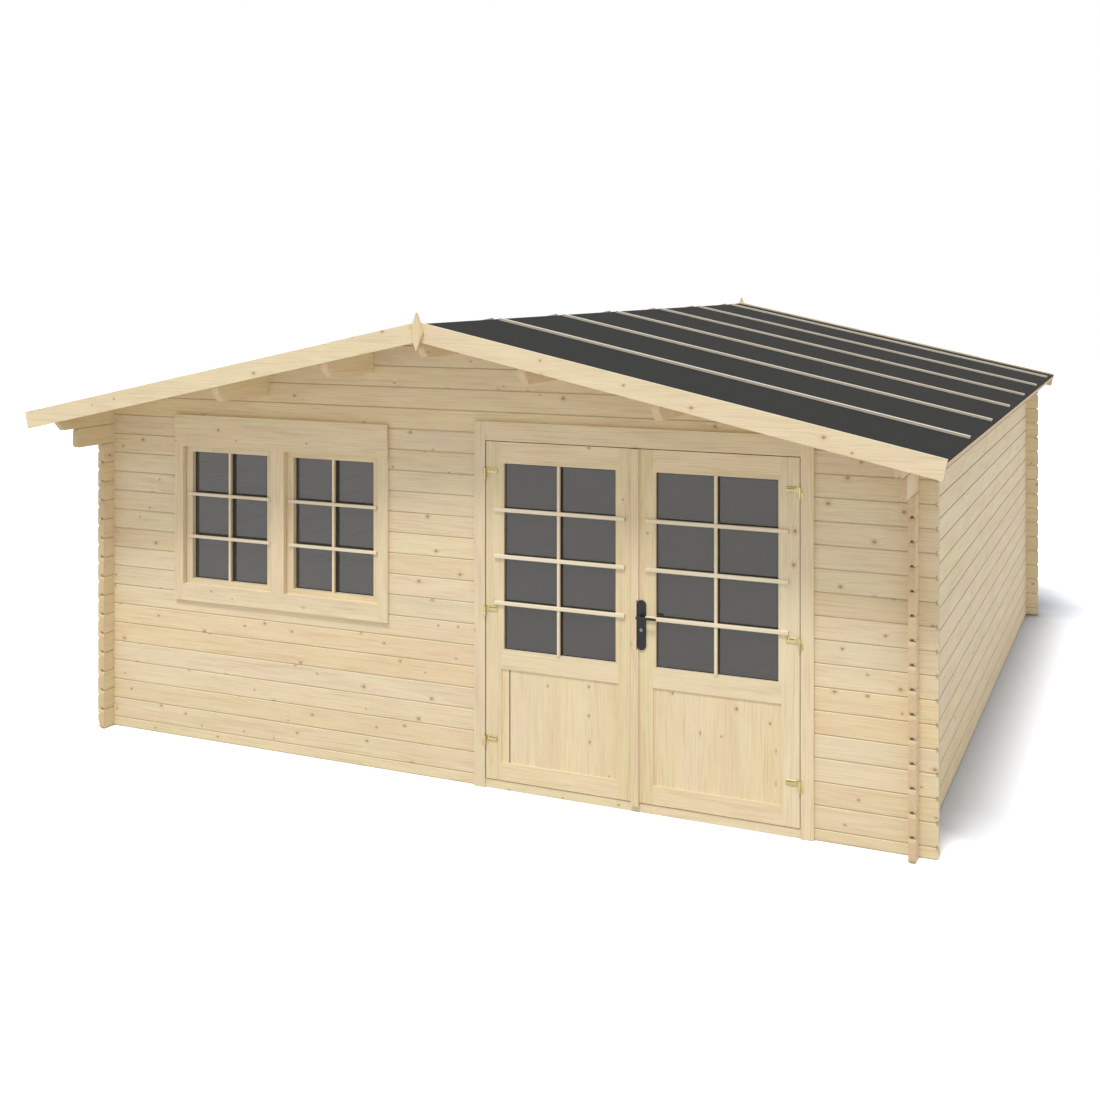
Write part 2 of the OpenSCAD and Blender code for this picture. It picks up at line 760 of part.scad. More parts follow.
// left sash: a frame grooved for its glass
module sash_outer(x0, x1) {
    difference() {
        block(x0, x1, sash_y, sash_y + sash_t, sash_z0, sash_z1);
        block(x0 + sash_stile, x1 - sash_stile, sash_y - e, sash_y + sash_t + e,
            sash_z0 + sash_rail, sash_z1 - sash_rail);
        sash_pane(x0, x1);
    }
}

module sash_pane(x0, x1)
    block(x0 + sash_stile - groove, x1 - sash_stile + groove, sash_y + pane_back,
        sash_y + pane_back + glass_t, sash_z0 + sash_rail - groove, sash_z1 - sash_rail + groove);

sash_l0 = win_l + win_side + sash_gap;
sash_l1 = win_x - mullion_w/2 - sash_gap;
sash_r0 = win_x + mullion_w/2 + sash_gap;
sash_r1 = win_r - win_side - sash_gap;

module window_sashes() color(wood) place() {
    sash_outer(sash_l0, sash_l1);
    sash_outer(sash_r0, sash_r1);
}

module window_glass() color(pane) place() {
    sash_pane(sash_l0, sash_l1);
    sash_pane(sash_r0, sash_r1);
}

module floor_bearers() color(wood) place() {
    y0 = in_y + floor_gap;
    y1 = wall_d - log_t - floor_gap;
    for (i = [0 : bearer_n - 1]) {
        y = y0 + i*(y1 - y0 - bearer_w)/(bearer_n - 1);
        block(-in_w, in_w, y, y + bearer_w, 0, bearer_h);
    }
}

module floor_deck() color(wood) place()
    block(-in_w + floor_gap, in_w - floor_gap, in_y + e, wall_d - log_t - floor_gap, bearer_h, sill_h);

module front_wall_even_logs() color(wood) front_wall(0);
module front_wall_odd_logs() color(wood) front_wall(1);
module back_wall_even_logs() color(wood) back_wall(0);
module back_wall_odd_logs() color(wood) back_wall(1);
module left_wall_even_logs() color(wood) left_wall(0);
module left_wall_odd_logs() color(wood) left_wall(1);
module right_wall_even_logs() color(wood) right_wall(0);
module right_wall_odd_logs() color(wood) right_wall(1);

front_wall_even_logs();
front_wall_odd_logs();
back_wall_even_logs();
back_wall_odd_logs();
left_wall_even_logs();
left_wall_odd_logs();
right_wall_even_logs();
right_wall_odd_logs();
wall_plates();
ridge_purlin();
inner_purlins();
outer_purlins();
left_roof_deck();
right_roof_deck();
left_roof_felt();
right_roof_felt();
left_battens();
right_battens();
left_barge_boards();
right_barge_boards();
finials();
door_jambs();
door_head();
door_sill();
door_hinge_pins();
left_leaf_stiles();
left_leaf_rails();
left_leaf_glass();
left_leaf_panel();
left_leaf_hinges();
right_leaf_stiles();
right_leaf_rails();
right_leaf_glass();
right_leaf_panel();
right_leaf_hinges();
cover_strip();
handle_plates();
lock_cylinder();
lever_handle();
window_jambs();
window_head();
window_bottom();
window_mullion();
window_sashes();
window_glass();
floor_bearers();
floor_deck();
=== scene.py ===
"""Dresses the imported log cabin: pine on every log, board lines, glazing bars, felt and fittings."""

import json
import math

import bmesh
import bpy
import numpy as np
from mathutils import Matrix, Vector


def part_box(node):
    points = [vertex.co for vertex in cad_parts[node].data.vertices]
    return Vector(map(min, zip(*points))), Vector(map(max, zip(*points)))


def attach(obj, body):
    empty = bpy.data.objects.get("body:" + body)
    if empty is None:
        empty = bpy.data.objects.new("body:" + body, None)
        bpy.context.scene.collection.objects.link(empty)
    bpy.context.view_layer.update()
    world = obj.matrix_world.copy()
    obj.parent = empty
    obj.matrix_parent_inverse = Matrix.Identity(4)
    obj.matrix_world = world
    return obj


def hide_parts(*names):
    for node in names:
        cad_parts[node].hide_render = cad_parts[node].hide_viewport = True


bl_info = {
    "name": "Log Cabin Dresser",
    "version": (1, 0, 0),
    "blender": (4, 5, 0),
    "location": "View3D > Sidebar > Cabin",
    "description": "Adds boards, glazing bars, fittings and finishes to a packed log cabin",
    "category": "Object",
}

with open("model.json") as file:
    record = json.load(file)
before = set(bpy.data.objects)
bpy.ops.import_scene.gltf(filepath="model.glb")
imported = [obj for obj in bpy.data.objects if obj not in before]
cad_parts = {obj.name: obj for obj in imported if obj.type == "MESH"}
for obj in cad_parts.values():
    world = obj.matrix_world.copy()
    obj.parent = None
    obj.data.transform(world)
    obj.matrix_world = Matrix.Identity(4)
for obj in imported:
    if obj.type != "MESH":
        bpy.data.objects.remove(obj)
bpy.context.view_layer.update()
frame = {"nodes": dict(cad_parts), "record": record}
CABIN, LEFT, RIGHT, LEVER = "cabin", "left_leaf", "right_leaf", "lever"
LEAVES = (("left", LEFT, -1.0), ("right", RIGHT, 1.0))  # name, body and the way along x to its casing

# Fixed lengths in metres

NEAR = 1e-4  # as good as touching
LOG_HALF = 2.495  # half a front log
FRONT_CORNER = -2.40  # y inside the front wall, where the side logs' front ends begin
ROOF_THICK = 0.018  # roof boards, square to the slope
FIRST_JOINT = 0.055  # from a panel's left edge to its first joint
PANEL_DIP, PANEL_VEE = 0.0011, 0.0022  # depth and half width of a panel's joint
OPEN_DIP, OPEN_VEE = 0.012, 0.0037  # the same for the joint that stands open
REBATE = 0.010  # of a pane inside its frame
BAR_EASE = 0.003  # eased corner of a glazing bar
SLIM_BAR = 0.018  # width of a door's upright bars and of every window bar
SLIM_DEPTH = 0.012  # depth of a door's upright bars and of a window's level bars
UPRIGHT_SUNK = 0.0045  # a door's upright bars, behind the faces of the rails
WINDOW_UPRIGHT = 0.015  # depth of a window's upright bars
WINDOW_LAP = 0.026  # of a window's level bar over each stile
FRONT_BAR_OUT = 0.014  # a window's front upright bar, before its pane
BACK_BAR_SUNK = 0.002  # a window's back upright bar, inside the sash's back
SASH_STILE = 0.045  # from the mullion's side to a sash's opening
DOOR_BEAD, WINDOW_BEAD = (0.011, 0.012), (0.003, 0.003)  # width and depth of a bead
DOOR_STRIP, WINDOW_STRIP = 0.004, 0.005  # width of the dark strips on a pane, painted shadow and reflection of the bars
STRIP_THICK = 0.0006  # thickness of a dark strip
HINGE_LOW, HINGE_HIGH = 0.254, 1.670  # heights of the lowest and highest hinge
FLAP_OFF = 0.014  # from a hinge's height up to its plate's middle and down to its casing flap's middle
PLATE_OUT, SCREW_OUT = 0.0020, 0.0074  # foot of a hinge plate and of its screws, before the leaf's face
PLATE_SPAN, SHADE_BAND_SPAN = (0.001, 0.052), (0.003, 0.044)  # start from the hinge's edge, and length
PLATE_SCREWS = (0.012, 0.040)  # from the hinge's edge
CASING_OUT, CASING_IN = 0.0025, 0.007  # a casing flap's screw, before the jamb and in from the flap's end
PLATE_IN = 0.014  # from a handle plate's end to its screw
PLATE_HEAD, SMALL_HEAD = 0.0048, 0.0042  # radius of the screw heads in hinge plates, and of the others

# Fixed tones

SAWN_LIGHT, SAWN_DARK = (0.74, 0.56, 0.35), (0.56, 0.39, 0.22)  # log ends
RIM_TONE, JOINT_SHADE_TONE = (0.50, 0.31, 0.14, 1), (0.16, 0.105, 0.05, 1)  # round a knot, and between logs, where the dark joint line is partly painted shade


# Sizes and colours

def metres(label, note, default):
    """Property for a length in metres."""
    return bpy.props.FloatProperty(name=label, description=note, default=default, unit="LENGTH")


def tone(label, note, default):
    """Property for a colour."""
    return bpy.props.FloatVectorProperty(name=label, description=note, default=default, subtype="COLOR", size=3)


class CabinSizes(bpy.types.PropertyGroup):
    """Sizes of the pieces that the scene adds, in metres"""

    course: metres("Course", "Height that one log adds to a wall", 0.114)
    bar_width: metres("Bar width", "Width of a glazing bar", 0.020)
    bar_depth: metres("Bar depth", "Depth of a glazing bar", 0.014)
    bar_lap: metres("Bar lap", "Length of a level bar over each stile", 0.052)
    board: metres("Panel board", "Width of a board in the lower door panels", 0.096)
    roof_board: metres("Roof board", "Width of a roof board", 0.094)
    floor_board: metres("Floor board", "Width of a floor board", 0.112)
    vee: metres("Vee", "Depth of the groove between boards", 0.004)


class CabinColours(bpy.types.PropertyGroup):
    """Colours of the finishes"""

    pine_light: tone("Pine light", "Early wood of the pine", (0.835, 0.703, 0.466))
    pine_dark: tone("Pine dark", "Late wood of the pine", (0.60, 0.445, 0.244))
    knot: tone("Knot", "Heart of a knot", (0.36, 0.21, 0.095))
    felt: tone("Felt", "Mineral felt", (0.0158, 0.0160, 0.0152))
    pane: tone("Pane", "Glass tint", (0.212, 0.209, 0.202))
    batten_light: tone("Batten light", "Early wood of the weathered battens", (0.62, 0.56, 0.45))
    batten_dark: tone("Batten dark", "Late wood of the weathered battens", (0.47, 0.40, 0.30))
    # painted highlight: the paler pine that faces turned to the sky are mixed towards
    sky_highlight: tone("Highlight", "Pine on edges that face the sky", (0.84, 0.77, 0.61))
    brass: tone("Brass", "Hinge plating", (0.70, 0.60, 0.30))
    handle: tone("Handle", "Powder coat on the handle", (0.014, 0.0145, 0.016))


def sizes():
    """The sizes that are set on the scene."""
    return bpy.context.scene.cabin_sizes


def colours():
    """The colours that are set on the scene."""
    return bpy.context.scene.cabin_colours


# Mesh helpers

def corners(node):
    """Low and high corner of a CAD node."""
    return [np.array(p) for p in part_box(node)]


def mesh_piece(name, shape, body, material):
    """Makes a piece from whole arrays of points and faces, turns every face of it to point out, rides it on a
    body and gives it its finish."""
    verts, faces = shape
    mesh = bpy.data.meshes.new(name)
    mesh.from_pydata(np.asarray(verts, float).tolist(), [], [list(map(int, f)) for f in faces])
    mesh.validate()
    turned = bmesh.new()
    turned.from_mesh(mesh)
    bmesh.ops.recalc_face_normals(turned, faces=turned.faces)
    turned.to_mesh(mesh)
    turned.free()
    mesh.update()
    piece = bpy.data.objects.new(name, mesh)
    bpy.context.scene.collection.objects.link(piece)
    mesh.materials.append(material)
    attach(piece, body)
    return piece


def carried(profile, start, u, v, end):
    """A closed flat profile (n x 2 in the side vectors u and v) carried straight from start to end, with both
    ends closed.  Point i at either end is that end + u*profile[i, 0] + v*profile[i, 1]."""
    flat = np.asarray(profile, float)
    ring = flat[:, :1]*np.asarray(u) + flat[:, 1:]*np.asarray(v)
    n = len(flat)
    i = np.arange(n)
    j = (i + 1) % n
    sides = np.stack([i, j, j + n, i + n], 1).tolist()
    return np.vstack([ring + start, ring + end]), sides + [list(range(n - 1, -1, -1)), list(range(n, 2*n))]


def joined(parts):
    """Several (points, faces) sets as one set, each face moved up by the points before it."""
    verts, faces, at = [], [], 0
    for v, f in parts:
        verts.append(np.asarray(v, float))
        faces += [[int(k) + at for k in face] for face in f]
        at += len(v)
    return np.vstack(verts), faces


def bar_profile(width, depth):
    """Rectangle, width by depth, with the two front corners eased at 45 degrees."""
    w, ease = width/2, BAR_EASE
    return [(-w, 0), (w, 0), (w, depth - ease), (w - ease, depth), (-w + ease, depth), (-w, depth - ease)]


def level_bar(section, x0, x1, y, z, out):
    """Glazing bar from x0 to x1 at the height z, its back on the plane y and its front towards out."""
    return carried(section, np.array([x0, y, z]), (0, 0, 1), (0, out, 0), np.array([x1, y, z]))


def upright_bar(section, x, y, z0, z1, out):
    """Glazing bar at x from z0 to z1, its back on the plane y and its front towards out."""
    return carried(section, np.array([x, y, z0]), (1, 0, 0), (0, out, 0), np.array([x, y, z1]))


def across_hinges(section, rows, way, begin, span):
    """One section on every hinge, raised towards the front: it starts at begin from the row's place and runs
    on by span, both along x and both times way."""
    starts = np.array(rows) + (way*begin, 0, 0)
    return joined([carried(section, a, (0, 0, 1), (0, -1, 0), a + (way*span, 0, 0)) for a in starts])


def board_row(joints, depths, start, end, thick, vee, back_vee):
    """Section across a row of boards from start to end: a front that dips at every joint to that joint's own
    depth over a half width vee, and a back that dips there by the lesser of that depth and back_vee.  Points
    run along the front and return along the back."""
    joints, depths = np.asarray(joints, float), np.asarray(depths, float)
    x = np.concatenate([[start], joints - vee, joints, joints + vee, [end]])
    dip = np.concatenate([[0], 0*joints, depths, 0*joints, [0]])
    order = np.argsort(x)
    x, dip = x[order], dip[order]
    front = np.stack([x, dip], 1)
    back = np.stack([x[::-1], thick - np.minimum(dip[::-1], back_vee)], 1)
    return np.vstack([front, back])


def loft(rings):
    """Closed skin through rings of equal length (m x n x 3): ring k joins ring k + 1 point by point, and the
    first and the last ring are closed with one face each."""
    rings = np.asarray(rings, float)
    m, n = rings.shape[:2]
    k, i = np.meshgrid(np.arange(m - 1), np.arange(n), indexing="ij")
    j = (i + 1) % n
    sides = np.stack([k*n + i, k*n + j, (k + 1)*n + j, (k + 1)*n + i], -1).reshape(-1, 4).tolist()
    return rings.reshape(-1, 3), sides + [list(range(n - 1, -1, -1)), list(range((m - 1)*n, m*n))]


def round_rod(x, z, stations, radii):
    """Rod along y: a circle of the given radius about (x, z) at each station."""
    turn = np.linspace(0, 2*math.pi, 32, endpoint=False)
    radii = np.asarray(radii, float)[:, None]
    y = np.asarray(stations, float)[:, None] + 0*turn
    return loft(np.stack([x + radii*np.cos(turn), y, z + radii*np.sin(turn)], -1))


def lever_bar(x0, x1, y, z, high, deep):
    """Lever from x0 to x1: at part t of its length the section is a superellipse of power 3, scaled by
    (1 - |2t - 1|^9)^(1/9), so the ends close in a full round; the grip thins by a fifth to its tip."""
    t = (1 - np.cos(np.linspace(0.04, 0.96, 26)*math.pi))/2
    scale = (1 - np.abs(2*t - 1)**9)**(1/9)*(1 - 0.2*t)
    turn = np.linspace(0, 2*math.pi, 28, endpoint=False)
    a, b = np.cos(turn), np.sin(turn)
    a, b = np.sign(a)*np.abs(a)**(2/3), np.sign(b)*np.abs(b)**(2/3)
    x = (x0 + (x1 - x0)*t)[:, None] + 0*a
    return loft(np.stack([x, y + deep/2*scale[:, None]*a, z + high/2*scale[:, None]*b], -1))


def screw_heads(points, out, radius):
    """Countersunk heads facing out along y: a low dome 0.28 r (1 - (d/r)^2) high with a cross cut in it, as a
    grid of rings and turns about each point."""
    d = np.array([1.0, 0.96, 0.84, 0.66, 0.50, 0.34, 0.18, 0.05])[:, None]
    turn = np.linspace(0, 2*math.pi, 32, endpoint=False)[None, :]
    u, v = d*np.cos(turn), d*np.sin(turn)
    cut = (np.minimum(np.abs(u), np.abs(v)) < 0.13) & (d < 0.6)
    rise = 0.28*(1 - d**2) - 0.16*cut
    rise[0] = -0.2
    return joined([loft(np.stack([x + radius*u, y + out*radius*rise, z + radius*v], -1))
                   for x, y, z in points])


def bead_frame(x0, x1, z0, z1, y, out, width, depth):
    """Glazing bead round an opening: a quarter-round profile carried round the rectangle, mitred at the four
    corners, because each profile point is the rectangle moved in by its own distance."""
    turn = np.linspace(0, math.pi/2, 6)
    inset = np.concatenate([[0], width*np.cos(turn)])
    rise = np.concatenate([[0], depth*np.sin(turn)])
    sx, sz = np.array([1, -1, -1, 1]), np.array([1, 1, -1, -1])
    cx, cz = np.where(sx > 0, x0, x1), np.where(sz > 0, z0, z1)
    level = (y + out*rise)[None, :] + 0*cx[:, None]
    pts = np.stack([cx[:, None] + sx[:, None]*inset, level, cz[:, None] + sz[:, None]*inset], -1)
    n = len(inset)
    k, i = np.meshgrid(np.arange(4), np.arange(n), indexing="ij")
    k2, j = (k + 1) % 4, (i + 1) % n
    sides = np.stack([k*n + i, k*n + j, k2*n + j, k2*n + i], -1)
    return pts.reshape(-1, 3), sides.reshape(-1, 4).tolist()


def shade_strip_frame(x0, x1, z0, z1, y, out, edge):
    """Dark strips flat on a pane, one along each side of the rectangle, each a thin box: painted shadow and
    reflection of the bars at the pane's edges.
    """
    spans = [(x0, x1, z0, z0 + edge), (x0, x1, z1 - edge, z1),
             (x0, x0 + edge, z0 + edge, z1 - edge), (x1 - edge, x1, z0 + edge, z1 - edge)]
    near, far = np.array([0, y, 0]), np.array([0, y + out*STRIP_THICK, 0])
    return joined([carried([(a, c), (b, c), (b, d), (a, d)], near, (1, 0, 0), (0, 0, 1), far)
                   for a, b, c, d in spans])


def even_joints(start, end, board):
    """Joints of a row of equal boards, the last one not narrower than 0.3 of a board."""
    return np.arange(start + board, end - board*0.3, board)


# Shader helpers

class Net:
    """Short way of adding nodes and links to one node tree."""

    def __init__(self, tree):
        """Keeps the tree."""
        self.tree = tree

    def add(self, kind, inputs=None, **settings):
        """A node with its settings, then each input linked to a socket or set to a value."""
        node = self.tree.nodes.new(kind)
        for key, value in settings.items():
            setattr(node, key, value)
        for key, value in (inputs or {}).items():
            if isinstance(value, bpy.types.NodeSocket):
                self.link(value, node.inputs[key])
            else:
                node.inputs[key].default_value = value
        return node

    def link(self, output, goal):
        """Links an output to an input."""
        self.tree.links.new(output, goal)

    def math(self, op, a, b=0.0, c=0.0):
        """Result of one Math node."""
        return self.add("ShaderNodeMath", {0: a, 1: b, 2: c}, operation=op).outputs[0]

    def mix(self, fac, a, b):
        """Colour (1 - fac)*a + fac*b."""
        return self.add("ShaderNodeMix", {0: fac, 6: a, 7: b}, data_type="RGBA").outputs[2]

    def scaled(self, vector, factors):
        """Vector times one factor for each axis."""
        return self.add("ShaderNodeVectorMath", {0: vector, 1: factors}, operation="MULTIPLY").outputs[0]

    def noise(self, vector, scale, detail, rough=0.5):
        """Outputs of one Noise Texture: its value and its colour."""
        return self.add("ShaderNodeTexNoise", {"Vector": vector, "Scale": scale, "Detail": detail,
                                               "Roughness": rough}).outputs

    def fade(self, value, a, b, lo=0.0, hi=1.0):
        """Smooth step from lo at a to hi at b, held outside them."""
        return self.add("ShaderNodeMapRange", {0: value, 1: a, 2: b, 3: lo, 4: hi},
                        interpolation_type="SMOOTHSTEP", clamp=True).outputs[0]


def new_group(name, inputs, outputs):
    """An empty shader node group with named sockets; each entry is (name, socket type, default)."""
    tree = bpy.data.node_groups.new(name, "ShaderNodeTree")
    for label, kind, default in inputs:
        socket = tree.interface.new_socket(name=label, in_out="INPUT", socket_type=kind)
        if default is not None:
            socket.default_value = default
    for label, kind in outputs:
        tree.interface.new_socket(name=label, in_out="OUTPUT", socket_type=kind)
    net = Net(tree)
    return tree, net, net.add("NodeGroupInput"), net.add("NodeGroupOutput")


def pine_group():
    """Planed pine: growth bands and thin dark lines along the first axis, a few knots that push them aside,
    and a slight tint for each board.  Seam darkens the joint lines between logs or boards, partly as painted
    shade in the grooves."""
    if "planed_pine" in bpy.data.node_groups:
        return bpy.data.node_groups["planed_pine"]
    f, c, v = "NodeSocketFloat", "NodeSocketColor", "NodeSocketVector"
    tree, n, gin, gout = new_group(
        "planed_pine",
        [("Place", v, None), ("Board", f, 0.0), ("Light", c, (0.8, 0.68, 0.45, 1)),
         ("Dark", c, (0.6, 0.44, 0.24, 1)), ("Knot", c, (0.27, 0.13, 0.05, 1)), ("Knots", f, 0.1),
         ("Figure", f, 1.0), ("Tint", f, 1.0), ("Seam", f, 0.0)],
        [("Color", c), ("Roughness", f), ("Height", f)])
    o = gin.outputs
    rnd = n.add("ShaderNodeTexWhiteNoise", {"W": o["Board"]}, noise_dimensions="1D").outputs["Color"]
    shift = n.scaled(rnd, (53.0, 31.0, 17.0))
    place = n.add("ShaderNodeVectorMath", {0: o["Place"], 1: shift}, operation="ADD").outputs[0]
    sep = n.add("ShaderNodeSeparateXYZ", {0: place}).outputs
    over = n.math("MULTIPLY_ADD", sep[1], 0.8, sep[2])
    flat = n.add("ShaderNodeCombineXYZ", {0: n.math("MULTIPLY", sep[0], 0.8), 1: over}).outputs[0]
    # Knots: some cells of a Voronoi field hold one
    cell = n.add("ShaderNodeTexVoronoi", {"Vector": flat, "Scale": 8.0}, voronoi_dimensions="2D")
    pick = n.add("ShaderNodeSeparateColor", {0: cell.outputs["Color"]}).outputs
    held = n.math("LESS_THAN", pick[0], o["Knots"])
    reach = n.math("MULTIPLY_ADD", pick[1], 0.046, 0.026)
    near = n.math("DIVIDE", cell.outputs["Distance"], reach)
    knot = n.math("MULTIPLY", n.fade(near, 1.2, 0.55), held)
    rim = n.math("MULTIPLY", n.math("MULTIPLY", n.fade(near, 3.0, 0.9), held), 0.30)
    bend = n.math("MULTIPLY", n.math("MULTIPLY", n.fade(near, 7.0, 0.5), held), 0.014)
    # Growth bands, stretched along the board and pushed aside by the knots
    sway = n.noise(n.scaled(place, (0.5, 8.0, 8.0)), 1.0, 2.0)[0]
    cross = n.math("ADD", n.math("MULTIPLY_ADD", sep[1], 0.7, sep[2]), bend)
    band = n.math("SINE", n.math("MULTIPLY", n.math("MULTIPLY_ADD", sway, 0.085, cross), 480.0))
    band = n.fade(band, 0.1, 1.0)
    # Thin lines and fibres along the grain
    aside = n.math("ADD", sep[2], bend)
    run = n.add("ShaderNodeCombineXYZ", {0: sep[0], 1: sep[1], 2: aside}).outputs[0]
    line = n.fade(n.noise(n.scaled(run, (3.2, 95.0, 95.0)), 1.0, 3.0, 0.55)[0], 0.46, 0.74)
    fibre = n.noise(n.scaled(run, (14.0, 320.0, 320.0)), 1.0, 2.0, 0.6)[0]
    # Slow patches, and one tint for each board
    cloud = n.noise(n.scaled(place, (3.0, 17.0, 17.0)), 1.0, 3.0, 0.6)
    grain = n.math("MULTIPLY_ADD", band, 0.13, n.math("MULTIPLY", line, 0.36))
    grain = n.math("ADD", grain, n.math("MULTIPLY_ADD", fibre, 0.42, -0.12))
    grain = n.math("ADD", grain, n.math("MULTIPLY_ADD", cloud[0], 0.66, -0.31))
    grain = n.math("MINIMUM", n.math("MAXIMUM", n.math("MULTIPLY", grain, o["Figure"]), 0.0), 1.0)
    wood = n.mix(grain, o["Light"], o["Dark"])
    draw = n.add("ShaderNodeSeparateColor", {0: rnd}).outputs
    side = [n.math("MULTIPLY", n.math("SUBTRACT", draw[i], 0.5), o["Tint"]) for i in range(3)]
    drift = n.math("SUBTRACT", n.add("ShaderNodeSeparateColor", {0: cloud[1]}).outputs[1], 0.5)
    hue = n.math("MULTIPLY_ADD", drift, 0.050, n.math("MULTIPLY_ADD", side[0], 0.012, 0.5))
    tinted = n.add("ShaderNodeHueSaturation", {
        "Hue": hue, "Saturation": n.math("MULTIPLY_ADD", side[1], 0.18, 1.0),
        "Value": n.math("MULTIPLY_ADD", side[2], 0.05, 1.0), "Color": wood}).outputs[0]
    ringed = n.mix(rim, tinted, RIM_TONE)
    knotted = n.mix(n.math("MULTIPLY", knot, 0.78), ringed, o["Knot"])
    # dark joint colour, partly painted shade in the grooves
    full = n.mix(n.math("MULTIPLY", o["Seam"], 0.80), knotted, JOINT_SHADE_TONE)
    n.link(full, gout.inputs["Color"])
    n.link(n.math("MULTIPLY_ADD", grain, 0.18, 0.58), gout.inputs["Roughness"])
    n.link(n.math("ADD", n.math("MULTIPLY", fibre, 0.6), n.math("MULTIPLY", band, 0.4)), gout.inputs["Height"])
    return tree


def end_group():
    """Sawn end of a log: rings, as a sine of the distance from a heart below the log, with noise in them."""
    if "sawn_end" in bpy.data.node_groups:
        return bpy.data.node_groups["sawn_end"]
    f, c, v = "NodeSocketFloat", "NodeSocketColor", "NodeSocketVector"
    tree, n, gin, gout = new_group(
        "sawn_end", [("Place", v, None), ("Board", f, 0.0), ("Light", c, (0.7, 0.5, 0.28, 1)),
                     ("Dark", c, (0.5, 0.3, 0.14, 1))], [("Color", c)])
    o = gin.outputs
    sep = n.add("ShaderNodeSeparateXYZ", {0: o["Place"]}).outputs
    rnd = n.add("ShaderNodeTexWhiteNoise", {"W": o["Board"]}, noise_dimensions="1D").outputs["Value"]
    up = n.math("MULTIPLY_ADD", rnd, 0.08, sep[2])
    across = n.math("MULTIPLY", sep[1], sep[1])
    r = n.math("SQRT", n.math("ADD", across, n.math("MULTIPLY", up, up)))
    noise = n.noise(o["Place"], 45.0, 2.0)[0]
    ring = n.math("SINE", n.math("MULTIPLY", n.math("MULTIPLY_ADD", noise, 0.004, r), 1500.0))
    mask = n.math("MULTIPLY_ADD", ring, 0.22, n.math("MULTIPLY", noise, 0.6))
    n.link(n.mix(mask, o["Light"], o["Dark"]), gout.inputs["Color"])
    return tree


def grit_group():
    """Mineral grit: dark felt with pale specks and slow patches."""
    if "mineral_grit" in bpy.data.node_groups:
        return bpy.data.node_groups["mineral_grit"]
    f, c, v = "NodeSocketFloat", "NodeSocketColor", "NodeSocketVector"
    tree, n, gin, gout = new_group("mineral_grit", [("Place", v, None), ("Base", c, (0.05, 0.05, 0.052, 1))],
                                   [("Color", c), ("Roughness", f), ("Height", f)])
    o = gin.outputs
    fine = n.noise(o["Place"], 420.0, 2.0)[0]
    slow = n.noise(o["Place"], 2.2, 4.0)[0]
    speck = n.fade(fine, 0.62, 0.74)
    ground = n.mix(n.math("MULTIPLY", slow, 0.5), o["Base"], (0.035, 0.0355, 0.0338, 1))
    gritty = n.mix(n.math("MULTIPLY", speck, 0.5), ground, (0.088, 0.089, 0.085, 1))
    n.link(gritty, gout.inputs["Color"])
    n.link(n.math("MULTIPLY_ADD", slow, 0.2, 0.75), gout.inputs["Roughness"])
    n.link(fine, gout.inputs["Height"])
    return tree


def new_material(name):
    """A material with a Principled surface; gives the material, its node helper and the surface."""
    mat = bpy.data.materials.new(name)
    mat.use_nodes = True
    net = Net(mat.node_tree)
    surface = next(x for x in mat.node_tree.nodes if x.type == "BSDF_PRINCIPLED")
    return mat, net, surface


def rgba(colour):
    """The colour with full alpha."""
    return (colour[0], colour[1], colour[2], 1.0)


